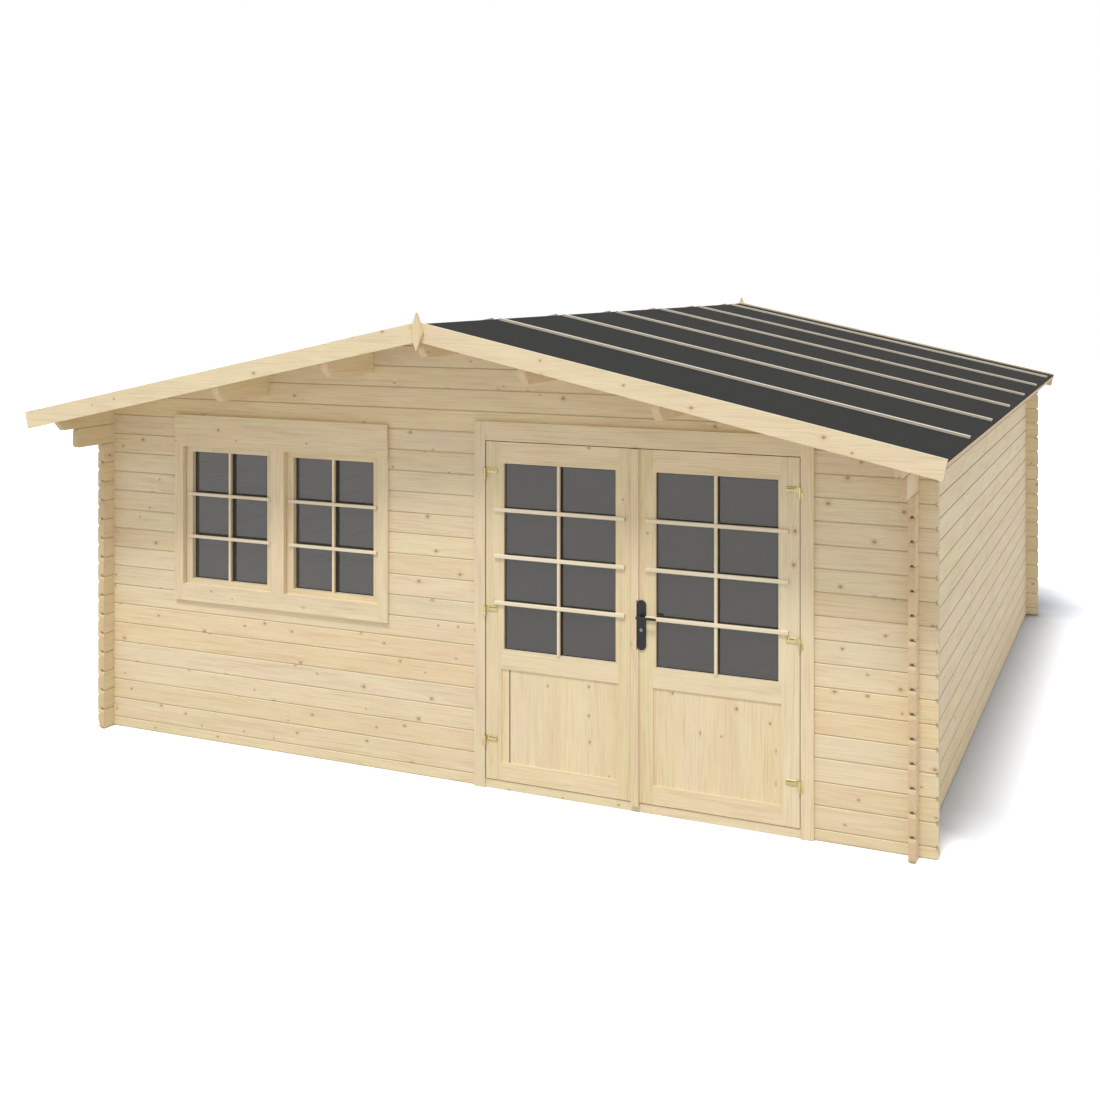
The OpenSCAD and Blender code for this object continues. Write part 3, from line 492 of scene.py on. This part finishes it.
def pine(name, grain, steps, knots=0.10, light=1.0, figure=1.0, tint=1.0, seam=None, rails=None, pair=None,
         calm=None):
    """Pine whose grain runs along x, y or z.  steps lists (axis, spacing, offset): each adds the number of
    the board that a point is on along that axis, so every log or board gets its own tint and figure.
    seam is (axis, spacing, offset, half width, strength, half length) for dark lines at the joints, partly
    painted shade in the grooves, and wider at the rounded ends, as painted shade in the notches, when a half
    length of the
    log is given.  rails is (low, high): below and above these heights the grain runs along x, for the rails of a
    frame.  pair gives two colours in place of the pine's.
    calm is (place, share): below this place along the grain the dark lines keep only this share."""
    mat, n, surface = new_material(name)
    col = colours()
    place = n.add("ShaderNodeTexCoord").outputs["Object"]
    sep = n.add("ShaderNodeSeparateXYZ", {0: place}).outputs
    order = {"x": (0, 1, 2), "y": (1, 0, 2), "z": (2, 1, 0)}[grain]
    turned = n.add("ShaderNodeCombineXYZ", {i: sep[order[i]] for i in range(3)}).outputs[0]
    if rails:
        level = n.math("ADD", n.math("LESS_THAN", sep[2], rails[0]), n.math("GREATER_THAN", sep[2], rails[1]))
        blend = n.add("ShaderNodeMix", {0: level, 4: turned, 5: place}, data_type="VECTOR")
        turned = blend.outputs[1]
    board = n.math("ADD", 0.0, sum(ord(ch) for ch in name) % 97)
    for k, (axis, spacing, offset) in enumerate(steps):
        number = n.math("FLOOR", n.math("MULTIPLY_ADD", sep["xyz".index(axis)], 1.0/spacing, offset))
        board = n.math("ADD", board, n.math("MULTIPLY", number, (1.0, 41.0, 173.0)[k]))
    tones = [tuple(min(1.0, x*light) for x in c) for c in (pair or (col.pine_light, col.pine_dark))]
    wood = n.add("ShaderNodeGroup", {
        "Place": turned, "Board": board, "Light": rgba(tones[0]), "Dark": rgba(tones[1]), "Knot": rgba(col.knot),
        "Knots": knots, "Figure": figure, "Tint": tint}, node_tree=pine_group())
    # dark joint lines, partly painted shade in the grooves between logs or boards; near a log's rounded end the
    # line widens, as painted shade in the notch there
    if seam:
        axis, spacing, offset, half, strength, length = seam
        part = n.math("FRACT", n.math("MULTIPLY_ADD", sep["xyz".index(axis)], 1.0/spacing, offset + 0.5))
        off = n.math("MULTIPLY", n.math("ABSOLUTE", n.math("SUBTRACT", part, 0.5)), spacing)
        line = n.math("MULTIPLY", n.fade(off, half, half*0.35), strength)
        if length:
            along = n.math("ABSOLUTE", sep["xyz".index(grain)])
            tip = n.fade(along, length - 0.018, length - 0.004)
            line = n.math("MAXIMUM", line, n.math("MULTIPLY", n.fade(off, 0.016, 0.004), tip))
        if calm:
            share = n.fade(sep["xyz".index(grain)], calm[0], calm[0] - 0.01, 1.0, calm[1])
            line = n.math("MULTIPLY", line, share)
        n.link(line, wood.inputs["Seam"])
    normal = n.add("ShaderNodeTexCoord").outputs["Normal"]
    way = n.add("ShaderNodeSeparateXYZ", {0: normal}).outputs
    facing = n.math("ABSOLUTE", way["xyz".index(grain)])
    end = n.add("ShaderNodeGroup", {
        "Place": turned, "Board": board, "Light": rgba([light*x for x in SAWN_LIGHT]),
        "Dark": rgba([light*x for x in SAWN_DARK])}, node_tree=end_group())
    sawn = n.mix(n.fade(facing, 0.58, 0.70), wood.outputs["Color"], end.outputs["Color"])
    # painted highlight: faces that turn to the sky are mixed towards a paler pine, standing in for the light that
    # falls on them
    highlight_share = n.fade(way[2], 0.55, 0.90, 0.0, 0.65)
    n.link(n.mix(highlight_share, sawn, rgba(col.sky_highlight)), surface.inputs["Base Color"])
    n.link(wood.outputs["Roughness"], surface.inputs["Roughness"])
    bump = n.add("ShaderNodeBump", {"Strength": 0.25, "Distance": 0.0006, "Height": wood.outputs["Height"]})
    n.link(bump.outputs[0], surface.inputs["Normal"])
    return mat


def metal(name, colour, metallic, rough, grain_scale):
    """Plated or coated metal with slow clouds in its colour and a fine uneven gloss."""
    mat, n, surface = new_material(name)
    place = n.add("ShaderNodeTexCoord").outputs["Object"]
    slow = n.noise(place, 18.0, 3.0)[0]
    fine = n.noise(place, grain_scale, 2.0)[0]
    dull = tuple(0.72*x for x in colour)
    n.link(n.mix(n.fade(slow, 0.35, 0.7), rgba(colour), rgba(dull)), surface.inputs["Base Color"])
    n.link(n.math("MULTIPLY_ADD", fine, 0.22, rough), surface.inputs["Roughness"])
    surface.inputs["Metallic"].default_value = metallic
    bump = n.add("ShaderNodeBump", {"Strength": 0.15, "Distance": 0.0003, "Height": fine})
    n.link(bump.outputs[0], surface.inputs["Normal"])
    return mat


def finish(node, material):
    """Gives a CAD node one material in place of its own."""
    mesh = frame["nodes"][node].data
    mesh.materials.clear()
    mesh.materials.append(material)


def kept(name, make):
    """The material of that name, made once."""
    return bpy.data.materials.get(name) or make()


def bar_wood():
    """Paler pine of the glazing bars and beads."""
    pale = ((0.86, 0.765, 0.575), (0.66, 0.53, 0.35))
    return kept("bar_wood", lambda: pine("bar_wood", "x", [("z", 0.05, 0.0)], knots=0.0, figure=0.8, pair=pale))


def painted_shade_coat():
    """Near-black coat of the painted-shade strips on the panes and of the painted-shade bands on the hinges."""
    return kept("painted_shade_coat", lambda: metal("painted_shade_coat", (0.020, 0.016, 0.012), 0.0, 0.45, 500.0))


def board_wood():
    """Panel boards, with one dark line of painted shade down the open joint of the left panel: the lines repeat
    every
    4 m, so only one of them meets a panel."""
    repeat = 4.0
    place = corners("left_leaf_panel")[0][0] + FIRST_JOINT
    # painted shade: a dark line down the open joint
    line = ("x", repeat, -place/repeat, 0.0048, 0.85, 0.0)
    return kept("board_wood", lambda: pine("board_wood", "z", [("x", sizes().board, 0.0)], knots=0.34,
                                           light=1.02, figure=0.95, tint=0.8, seam=line))


# Operators

class CABIN_OT_walls(bpy.types.Operator):
    """Pine on the log walls and wall plates, one tint and figure for each log"""

    bl_idname = "cabin.walls"
    bl_label = "Log walls"

    def execute(self, context):
        """Front and back logs run along x; side logs run along y, half a course off them."""
        course = sizes().course
        front = pine("front_logs", "x", [("z", course, 0.5), ("y", 2.0, 0.0)], knots=0.40,
                     seam=("z", course, 0.5, 0.0034, 0.5, LOG_HALF))
        # painted shade: light=0.985 makes the side logs a slightly darker copy of the front logs' pine, standing
        # in for the weaker light on the side walls
        side = pine("side_logs", "y", [("z", course, 0.0), ("x", 1.0, 0.0)], knots=0.03, light=0.985,
                    figure=0.9, tint=0.7, seam=("z", course, 0.0, 0.0062, 0.9, 0.0), calm=(FRONT_CORNER, 0.35))
        for walls, material in ((("front", "back"), front), (("left", "right"), side)):
            for wall in walls:
                for turn in ("even", "odd"):
                    finish(f"{wall}_wall_{turn}_logs", material)
        finish("wall_plates", side)
        return {"FINISHED"}


class CABIN_OT_roof(bpy.types.Operator):
    """Roof boards with grooved joints, felt, battens, purlins, barge boards and finials"""

    bl_idname = "cabin.roof"
    bl_label = "Roof"

    def execute(self, context):
        """Each kind of piece gets its own wood; both slopes get boards in place of the plain deck."""
        col = colours()
        beam = pine("beams", "y", [("x", 0.45, 0.5)], light=1.1)
        barge = pine("barge_wood", "x", [("x", 3.0, 0.0), ("y", 3.0, 0.5)], knots=0.58, figure=0.95, tint=0.3)
        kite = pine("finial_wood", "z", [("y", 3.0, 0.5)], knots=0.0, light=1.03)
        strip = pine("batten_wood", "x", [("y", 0.45, 0.1), ("x", 3.0, 0.0)], knots=0.04,
                     pair=(col.batten_light, col.batten_dark))
        for material, nodes in ((beam, ("ridge_purlin", "inner_purlins", "outer_purlins")),
                                (barge, ("left_barge_boards", "right_barge_boards")),
                                (kite, ("finials",)),
                                (strip, ("left_battens", "right_battens")),
                                (self.felt(), ("left_roof_felt", "right_roof_felt"))):
            for node in nodes:
                finish(node, material)
        deck = pine("roof_boards", "x", [("y", sizes().roof_board, 0.0), ("x", 3.0, 0.0)])
        self.slope("left_roof_deck", -1.0, deck)
        self.slope("right_roof_deck", 1.0, deck)
        return {"FINISHED"}

    def felt(self):
        """Felt: the grit gives its colour and roughness and, as a bump, its normal."""
        mat, n, surface = new_material("felt")
        place = n.add("ShaderNodeTexCoord").outputs["Object"]
        grit = n.add("ShaderNodeGroup", {"Place": place, "Base": rgba(colours().felt)}, node_tree=grit_group())
        surface.inputs["Specular IOR Level"].default_value = 0.12
        n.link(grit.outputs["Color"], surface.inputs["Base Color"])
        n.link(grit.outputs["Roughness"], surface.inputs["Roughness"])
        bump = n.add("ShaderNodeBump", {"Strength": 0.5, "Distance": 0.0008, "Height": grit.outputs["Height"]})
        n.link(bump.outputs[0], surface.inputs["Normal"])
        return mat

    def slope(self, node, sign, material):
        """Roof boards: a grooved section along y carried down the slope from ridge to eave.  Measured upright, a
        board is its thickness times sqrt(1 + (drop/reach)^2)."""
        s = sizes()
        lo, hi = corners(node)
        reach = hi[0] - lo[0]
        mesh = frame["nodes"][node].data
        points = np.empty(3*len(mesh.vertices), np.float32)
        mesh.vertices.foreach_get("co", points)
        points = points.reshape(-1, 3).astype(float)
        off = np.abs(points[:, 0])
        ridge = points[off < NEAR, 2].min()
        eave = points[off > reach - NEAR, 2].min()
        upright = ROOF_THICK*math.sqrt(1 + ((ridge - eave)/reach)**2)
        joints = even_joints(lo[1], hi[1], s.roof_board)
        row = board_row(joints, 0*joints + s.vee, lo[1], hi[1], upright, s.vee, 0.0)
        top, low = np.array([0.0, 0.0, ridge]), np.array([sign*reach, 0.0, eave])
        boards = carried(row, top, (0, 1, 0), (0, 0, 1), low)
        piece = mesh_piece(f"{node}_boards", boards, CABIN, material)
        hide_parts(node)


class CABIN_OT_door(bpy.types.Operator):
    """Door frame, leaves, panel boards and glazing bars"""

    bl_idname = "cabin.door"
    bl_label = "Door"

    def execute(self, context):
        """The frame first, then each leaf with its panel and bars."""
        trim_up = pine("trim_upright", "z", [("x", 0.4, 0.0)], knots=0.07)
        trim_level = pine("trim_level", "x", [("z", 0.30, 0.2), ("x", 4.0, 0.5)], knots=0.26)
        for node, material in (("door_jambs", trim_up), ("door_head", trim_level),
                               ("door_sill", trim_level), ("cover_strip", trim_up)):
            finish(node, material)
        upright = pine("joinery_upright", "z", [("x", 0.4, 0.13)])
        level = pine("joinery_level", "x", [("z", 0.35, 0.3)], light=1.03, tint=0.5)
        for side, body, _ in LEAVES:
            finish(f"{side}_leaf_stiles", upright)
            finish(f"{side}_leaf_rails", level)
            self.panel(side, body)
            self.bars(side, body)
        return {"FINISHED"}

    def panel(self, side, body):
        """Lower panel: a grooved section along x carried from the bottom to the top of the panel.  The left
        panel's first joint stands open."""
        board = sizes().board
        lo, hi = corners(f"{side}_leaf_panel")
        first = lo[0] + FIRST_JOINT
        joints = even_joints(first - board, hi[0], board)
        wide = (joints < first + board/2) & (side == "left")
        depths, vees = np.where(wide, OPEN_DIP, PANEL_DIP), np.where(wide, OPEN_VEE, PANEL_VEE)
        row = board_row(joints, depths, lo[0], hi[0], hi[1] - lo[1], vees, PANEL_DIP)
        foot = np.array([0.0, lo[1], lo[2]])
        boards = carried(row, foot, (1, 0, 0), (0, 1, 0), foot + (0, 0, hi[2] - lo[2]))
        piece = mesh_piece(f"{side}_leaf_boards", boards, body, board_wood())
        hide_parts(f"{side}_leaf_panel")

    def bars(self, side, body):
        """Glazing bars on both faces: three level ones that lap the stiles and one upright between the rails.
        Dark strips of painted shadow and reflection lie on the pane's front and a bead runs round its back."""
        s = sizes()
        pane_lo, pane_hi = corners(f"{side}_leaf_glass")
        lo, hi = pane_lo + REBATE, pane_hi - REBATE
        rail_lo, rail_hi = corners(f"{side}_leaf_rails")
        faces = ((rail_lo[1], -1.0), (rail_hi[1], 1.0))
        level, upright = bar_profile(s.bar_width, s.bar_depth), bar_profile(SLIM_BAR, SLIM_DEPTH)
        heights = np.linspace(lo[2], hi[2], 5)[1:4]
        parts = [level_bar(level, lo[0] - s.bar_lap, hi[0] + s.bar_lap, y, z, out)
                 for z in heights for y, out in faces]
        parts += [upright_bar(upright, (lo[0] + hi[0])/2, y - out*UPRIGHT_SUNK, lo[2], hi[2], out)
                  for y, out in faces]
        mesh_piece(f"{side}_leaf_bars", joined(parts), body, bar_wood())
        # painted shadow and reflection: near-black strips round the pane's edges
        strips = shade_strip_frame(lo[0], hi[0], lo[2], hi[2], pane_lo[1], -1.0, DOOR_STRIP)
        mesh_piece(f"{side}_leaf_shade_strips", strips, body, painted_shade_coat())
        bead = bead_frame(lo[0], hi[0], lo[2], hi[2], pane_hi[1], 1.0, *DOOR_BEAD)
        mesh_piece(f"{side}_leaf_beads", bead, body, bar_wood())


class CABIN_OT_window(bpy.types.Operator):
    """Window casings, sashes and glazing bars"""

    bl_idname = "cabin.window"
    bl_label = "Window"

    def execute(self, context):
        """Each sash has two level bars, at thirds of its height, and one upright bar, on both faces, with dark
        strips of painted shadow and reflection on its pane's front and a bead round the back."""
        pane_lo, pane_hi = corners("window_glass")
        z0, z1 = pane_lo[2] + REBATE, pane_hi[2] - REBATE
        sash = pine("sash_wood", "z", [("x", 0.4, 0.13)], knots=0.06, rails=(z0, z1))
        trim_up, trim_level = bpy.data.materials["trim_upright"], bpy.data.materials["trim_level"]
        for node, material in (("window_jambs", trim_up), ("window_mullion", trim_up),
                               ("window_head", trim_level), ("window_bottom", trim_level),
                               ("window_sashes", sash)):
            finish(node, material)
        sash_lo, sash_hi = corners("window_sashes")
        post_lo, post_hi = corners("window_mullion")
        level, upright = bar_profile(SLIM_BAR, SLIM_DEPTH), bar_profile(SLIM_BAR, WINDOW_UPRIGHT)
        level_faces = ((sash_lo[1], -1.0), (sash_hi[1], 1.0))
        upright_faces = ((pane_lo[1] - FRONT_BAR_OUT, -1.0), (sash_hi[1] - BACK_BAR_SUNK, 1.0))
        bars, beads, strips = [], [], []
        for x0, x1 in ((pane_lo[0] + REBATE, post_lo[0] - SASH_STILE),
                       (post_hi[0] + SASH_STILE, pane_hi[0] - REBATE)):
            bars += [level_bar(level, x0 - WINDOW_LAP, x1 + WINDOW_LAP, y, z, out)
                     for z in (z0 + (z1 - z0)/3, z0 + (z1 - z0)*2/3) for y, out in level_faces]
            bars += [upright_bar(upright, (x0 + x1)/2, y, z0, z1, out) for y, out in upright_faces]
            beads.append(bead_frame(x0, x1, z0, z1, pane_hi[1], 1.0, *WINDOW_BEAD))
            # painted shadow and reflection: near-black strips round the pane's edges
            strips.append(shade_strip_frame(x0, x1, z0, z1, pane_lo[1], -1.0, WINDOW_STRIP))
        mesh_piece("window_bars", joined(bars), CABIN, bar_wood())
        mesh_piece("window_shade_strips", joined(strips), CABIN, painted_shade_coat())
        mesh_piece("window_beads", joined(beads), CABIN, bar_wood())
        return {"FINISHED"}


class CABIN_OT_glass(bpy.types.Operator):
    """Glass with a grey tint and faint waves"""

    bl_idname = "cabin.glass"
    bl_label = "Glass"

    def execute(self, context):
        """The window's glass is a lighter copy of the door's, as a painted reflection for its more slanting view.
        """
        door = self.pane("door_pane", 1.0)
        finish("left_leaf_glass", door)
        finish("right_leaf_glass", door)
        # painted reflection: the window's glass is a 1.4 times lighter copy of the door's
        finish("window_glass", self.pane("window_pane", 1.4))
        return {"FINISHED"}

    def pane(self, name, light):
        """Clear grey glass: slow noise runs its tint between the full colour and 0.86 of it."""
        mat, n, surface = new_material(name)
        place = n.add("ShaderNodeTexCoord").outputs["Object"]
        wave = n.noise(place, 1.6, 1.0)[0]
        full = [light*x for x in colours().pane]
        weak = [0.86*x for x in full]
        n.link(n.mix(wave, rgba(full), rgba(weak)), surface.inputs["Base Color"])
        n.link(n.math("MULTIPLY_ADD", wave, 0.02, 0.004), surface.inputs["Roughness"])
        surface.inputs["Transmission Weight"].default_value = 0.85
        surface.inputs["IOR"].default_value = 1.79
        surface.inputs["Specular Tint"].default_value = (1.0, 0.975, 0.94, 1.0)
        return mat


class CABIN_OT_fittings(bpy.types.Operator):
    """Brass hinges, dark handle and lock cylinder"""

    bl_idname = "cabin.fittings"
    bl_label = "Fittings"

    def execute(self, context):
        """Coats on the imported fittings, then the small pieces that the scene adds."""
        col = colours()
        brass = metal("brass", col.brass, 1.0, 0.14, 300.0)
        for node in ("door_hinge_pins", "left_leaf_hinges", "right_leaf_hinges"):
            finish(node, brass)
        finish("lock_cylinder", metal("lock", (0.34, 0.37, 0.42), 1.0, 0.35, 300.0))
        coat = metal("handle_coat", col.handle, 0.0, 0.32, 420.0)
        finish("handle_plates", coat)
        finish("lever_handle", coat)
        self.lever(coat)
        self.hinges(brass)
        self.handle(coat)
        return {"FINISHED"}

    def lever(self, coat):
        """Rounded levers on one spindle, in place of the plain lever: a rod through both plates and, on each
        face, a neck of six circles and a bar as long as the lever's box."""
        lo, hi = corners("lever_handle")
        near, far = corners("handle_plates")
        x, _, z = frame["record"]["behaviour"]["joints"][2]["pos_m"]
        steps = np.array([-0.007, 0.0, 0.004, 0.012, 0.022, 0.031])
        radii = [0.0085, 0.0085, 0.0082, 0.0072, 0.0072, 0.0078]
        spindle, inside = 0.005, 0.006  # the rod's radius, and its ends inside the plates
        high, deep, back = 0.015, 0.0118, 0.006  # a bar's section, and its middle inside the lever's box
        parts = [round_rod(x, z, [near[1] + inside, far[1] - inside], [spindle, spindle])]
        for face, end, out in ((near[1], lo[1], -1.0), (far[1], hi[1], 1.0)):
            parts.append(round_rod(x, z, face + out*steps, radii))
            parts.append(lever_bar(lo[0], hi[0], end - out*back, z, high, deep))
        piece = mesh_piece("lever_grips", joined(parts), LEVER, coat)
        piece.data.shade_smooth()
        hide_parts("lever_handle")

    def hinges(self, brass):
        """On every hinge a plate, half an ellipse in section, with a near-black band along it as painted shade
        and two cross-head screws; one more screw sits in each casing flap."""
        middle = frame["record"]["behaviour"]["joints"][0]["pos_m"][2]
        heights = (HINGE_LOW, middle, HINGE_HIGH)
        turn = np.linspace(0, math.pi, 13)
        pillow = np.stack([0.0145*np.cos(turn), 0.0006 + 0.0052*np.sin(turn)], 1)
        shade_band = [(0.0042, 0.0040), (0.0068, 0.0040), (0.0068, 0.0057), (0.0042, 0.0058)]
        screws = {}
        for side, body, way in LEAVES:
            lo, hi = corners(f"{side}_leaf_hinges")
            edge = hi[0] if side == "left" else lo[0]
            face = corners(f"{side}_leaf_rails")[0][1]
            rows = [(edge, face - PLATE_OUT, z + FLAP_OFF) for z in heights]
            plates = across_hinges(pillow, rows, way, *PLATE_SPAN)
            mesh_piece(f"{side}_hinge_plates", plates, body, brass)
            # painted shade: a near-black band along each plate stands in for the shade along the hinge
            shade_bands = across_hinges(shade_band, rows, way, *SHADE_BAND_SPAN)
            mesh_piece(f"{side}_hinge_shade_bands", shade_bands, body, painted_shade_coat())
            screws[side] = [(edge + way*d, face - SCREW_OUT, z + FLAP_OFF) for z in heights for d in PLATE_SCREWS]
        for side, body, _ in LEAVES:
            heads = screw_heads(screws[side], -1.0, PLATE_HEAD)
            mesh_piece(f"{side}_hinge_screws", heads, body, brass)
        lo, hi = corners("door_hinge_pins")
        face = corners("door_jambs")[0][1] - CASING_OUT
        at = [(x, face, z - FLAP_OFF) for z in heights for x in (lo[0] + CASING_IN, hi[0] - CASING_IN)]
        mesh_piece("casing_hinge_screws", screw_heads(at, -1.0, SMALL_HEAD), CABIN, brass)

    def handle(self, coat):
        """Cross-head screws near both ends of each handle plate, and a key slot in each end of the lock."""
        lo, hi = corners("handle_plates")
        x = (lo[0] + hi[0])/2
        ends = (lo[2] + PLATE_IN, hi[2] - PLATE_IN)
        heads = [screw_heads([(x, y, z) for z in ends], out, SMALL_HEAD)
                 for y, out in ((lo[1], -1.0), (hi[1], 1.0))]
        mesh_piece("plate_screws", joined(heads), RIGHT, coat)
        lo, hi = corners("lock_cylinder")
        mid = (lo + hi)/2
        half, tall, sunk, proud = 0.0009, 0.0045, 0.002, 0.0003  # half width and height, and both ends
        slot = [(-half, -tall), (half, -tall), (half, tall), (-half, tall)]
        parts = []
        for y, out in ((lo[1], -1.0), (hi[1], 1.0)):
            base = np.array([mid[0], y, mid[2]])
            inner, outer = base - (0, out*sunk, 0), base + (0, out*proud, 0)
            parts.append(carried(slot, inner, (1, 0, 0), (0, 0, 1), outer))
        mesh_piece("key_slots", joined(parts), RIGHT, coat)


class CABIN_OT_floor(bpy.types.Operator):
    """Floor boards on their bearers"""

    bl_idname = "cabin.floor"
    bl_label = "Floor"

    def execute(self, context):
        """Floor boards: a grooved section along x carried from the front to the back of the plain deck."""
        board, vee = sizes().floor_board, sizes().vee*0.6
        wood = pine("floor_wood", "y", [("x", board, 0.0)], light=0.95)
        finish("floor_bearers", pine("bearer_wood", "x", [("y", 0.6, 0.0)], light=0.9))
        lo, hi = corners("floor_deck")
        joints = even_joints(lo[0], hi[0], board)
        row = board_row(joints, 0*joints + vee, lo[0], hi[0], hi[2] - lo[2], vee, 0.0)
        near = np.array([0.0, lo[1], hi[2]])
        boards = carried(row, near, (1, 0, 0), (0, 0, -1), near + (0, hi[1] - lo[1], 0))
        piece = mesh_piece("floor_boards", boards, CABIN, wood)
        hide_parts("floor_deck")
        return {"FINISHED"}


class CABIN_OT_stage(bpy.types.Operator):
    """Pale floor, soft light and the camera at the photograph's place"""

    bl_idname = "cabin.stage"
    bl_label = "Stage"

    def execute(self, context):
        """A flat floor just under the cabin, the sky, the key light and the camera."""
        scene = bpy.context.scene
        scene.view_settings.view_transform = "Standard"
        self.floor()
        self.world()
        sun = bpy.data.lights.new("key", "SUN")
        sun.energy = 1.67
        sun.angle = math.radians(11.5)
        sun.color = (1.0, 0.985, 0.95)
        lamp = bpy.data.objects.new("key", sun)
        lamp.rotation_euler = (math.radians(28.5), 0.0, math.radians(-1.5))
        scene.collection.objects.link(lamp)
        cam = bpy.data.cameras.new("view")
        cam.sensor_width = 36.0
        cam.lens = 45.98
        cam.shift_y = -0.249
        cam.clip_end = 200.0
        eye = bpy.data.objects.new("view", cam)
        eye.location = (3.4992, -9.1173, 2.7165)
        eye.rotation_euler = (math.radians(90), 0.0, math.radians(23.989))
        scene.collection.objects.link(eye)
        scene.camera = eye
        return {"FINISHED"}

    def floor(self):
        """A square floor that reaches 40 m each way, 1 mm below the cabin."""
        reach, z = 40.0, -0.001
        mesh = bpy.data.meshes.new("stage_floor")
        mesh.from_pydata([(-reach, -reach, z), (reach, -reach, z), (reach, reach, z), (-reach, reach, z)],
                         [], [(0, 1, 2, 3)])
        floor = bpy.data.objects.new("stage_floor", mesh)
        bpy.context.scene.collection.objects.link(floor)
        mesh.materials.append(self.floor_material())

    def floor_material(self):
        """Matt floor, paler to the camera, glass and metal than to the light that bounces off it, so that lit
        floor shows white.  To the camera a painted shadow deepens its colour close to the walls, from ambient
        occlusion that reaches farther and is raised to a higher power behind the cabin; the painted shadow fades
        out in front of it, where painted light also makes the floor's colour to the camera paler."""
        mat = bpy.data.materials.new("stage_floor")
        mat.use_nodes = True
        n = Net(mat.node_tree)
        mat.node_tree.nodes.clear()
        out = n.add("ShaderNodeOutputMaterial")
        path = n.add("ShaderNodeLightPath").outputs
        mirrored = n.math("MAXIMUM", path["Is Glossy Ray"], path["Is Transmission Ray"])
        along = n.add("ShaderNodeSeparateXYZ", {0: n.add("ShaderNodeTexCoord").outputs["Object"]}).outputs[1]
        # painted shadow: ambient occlusion darkens the floor's colour to the camera near the cabin, farther and
        # deeper behind it
        close = n.add("ShaderNodeAmbientOcclusion", {"Distance": n.fade(along, 2.4, 3.2, 0.55, 1.05),
                                                     "Normal": (-0.28, -0.955, 0.08)}, samples=16)
        deeper = n.math("POWER", close.outputs["AO"], n.fade(along, 2.6, 3.3, 1.0, 5.0))
        clear = n.math("MAXIMUM", deeper, n.fade(along, -1.5, -2.45))
        # painted light: in front of the cabin the floor's colour to the camera is raised, washing out the shadow
        # there
        lit = n.mix(n.fade(along, -1.9, -2.6), (1.19, 1.245, 1.36, 1), (1.45, 1.50, 1.58, 1))
        shade = n.mix(clear, (0.0, 0.004, 0.016, 1), lit)
        bounced = n.mix(mirrored, (0.66, 0.66, 0.67, 1), (0.93, 0.94, 0.96, 1))
        matt = n.add("ShaderNodeBsdfDiffuse", {"Color": n.mix(path["Is Camera Ray"], bounced, shade)})
        n.link(matt.outputs[0], out.inputs[0])
        return mat

    def world(self):
        """White sky: strength 1 to the camera, glass and metal, 0.7 as light."""
        world = bpy.data.worlds.new("studio")
        bpy.context.scene.world = world
        world.use_nodes = True
        n = Net(world.node_tree)
        world.node_tree.nodes.clear()
        out = n.add("ShaderNodeOutputWorld")
        back = n.add("ShaderNodeBackground", {"Color": (1, 1, 1, 1)})
        path = n.add("ShaderNodeLightPath").outputs
        mirrored = n.math("MAXIMUM", path["Is Glossy Ray"], path["Is Transmission Ray"])
        seen = n.math("MAXIMUM", path["Is Camera Ray"], mirrored)
        n.link(n.math("MULTIPLY_ADD", seen, 0.30, 0.70), back.inputs["Strength"])
        n.link(back.outputs[0], out.inputs[0])


class CABIN_PT_panel(bpy.types.Panel):
    """Lists the cabin's steps and values"""

    bl_idname = "CABIN_PT_panel"
    bl_label = "Log Cabin"
    bl_space_type = "VIEW_3D"
    bl_region_type = "UI"
    bl_category = "Cabin"

    def draw(self, context):
        """Every size and colour, then one button for each step."""
        for group in (context.scene.cabin_sizes, context.scene.cabin_colours):
            for key in group.__annotations__:
                self.layout.prop(group, key)
        for step in STEPS:
            self.layout.operator(step.bl_idname)


STEPS = (CABIN_OT_walls, CABIN_OT_roof, CABIN_OT_door, CABIN_OT_window, CABIN_OT_glass,
         CABIN_OT_fittings, CABIN_OT_floor, CABIN_OT_stage)
CLASSES = (CabinSizes, CabinColours) + STEPS + (CABIN_PT_panel,)


def register():
    """Registers every class and hangs the sizes and colours on the scene."""
    for cls in CLASSES:
        bpy.utils.register_class(cls)
    bpy.types.Scene.cabin_sizes = bpy.props.PointerProperty(type=CabinSizes)
    bpy.types.Scene.cabin_colours = bpy.props.PointerProperty(type=CabinColours)


def unregister():
    """Takes back what register() did, in reverse order."""
    del bpy.types.Scene.cabin_sizes
    del bpy.types.Scene.cabin_colours
    for cls in reversed(CLASSES):
        bpy.utils.unregister_class(cls)


def main():
    register()
    for step in STEPS:
        group, name = step.bl_idname.split(".")
        getattr(getattr(bpy.ops, group), name)()


if __name__ == "__main__":
    main()
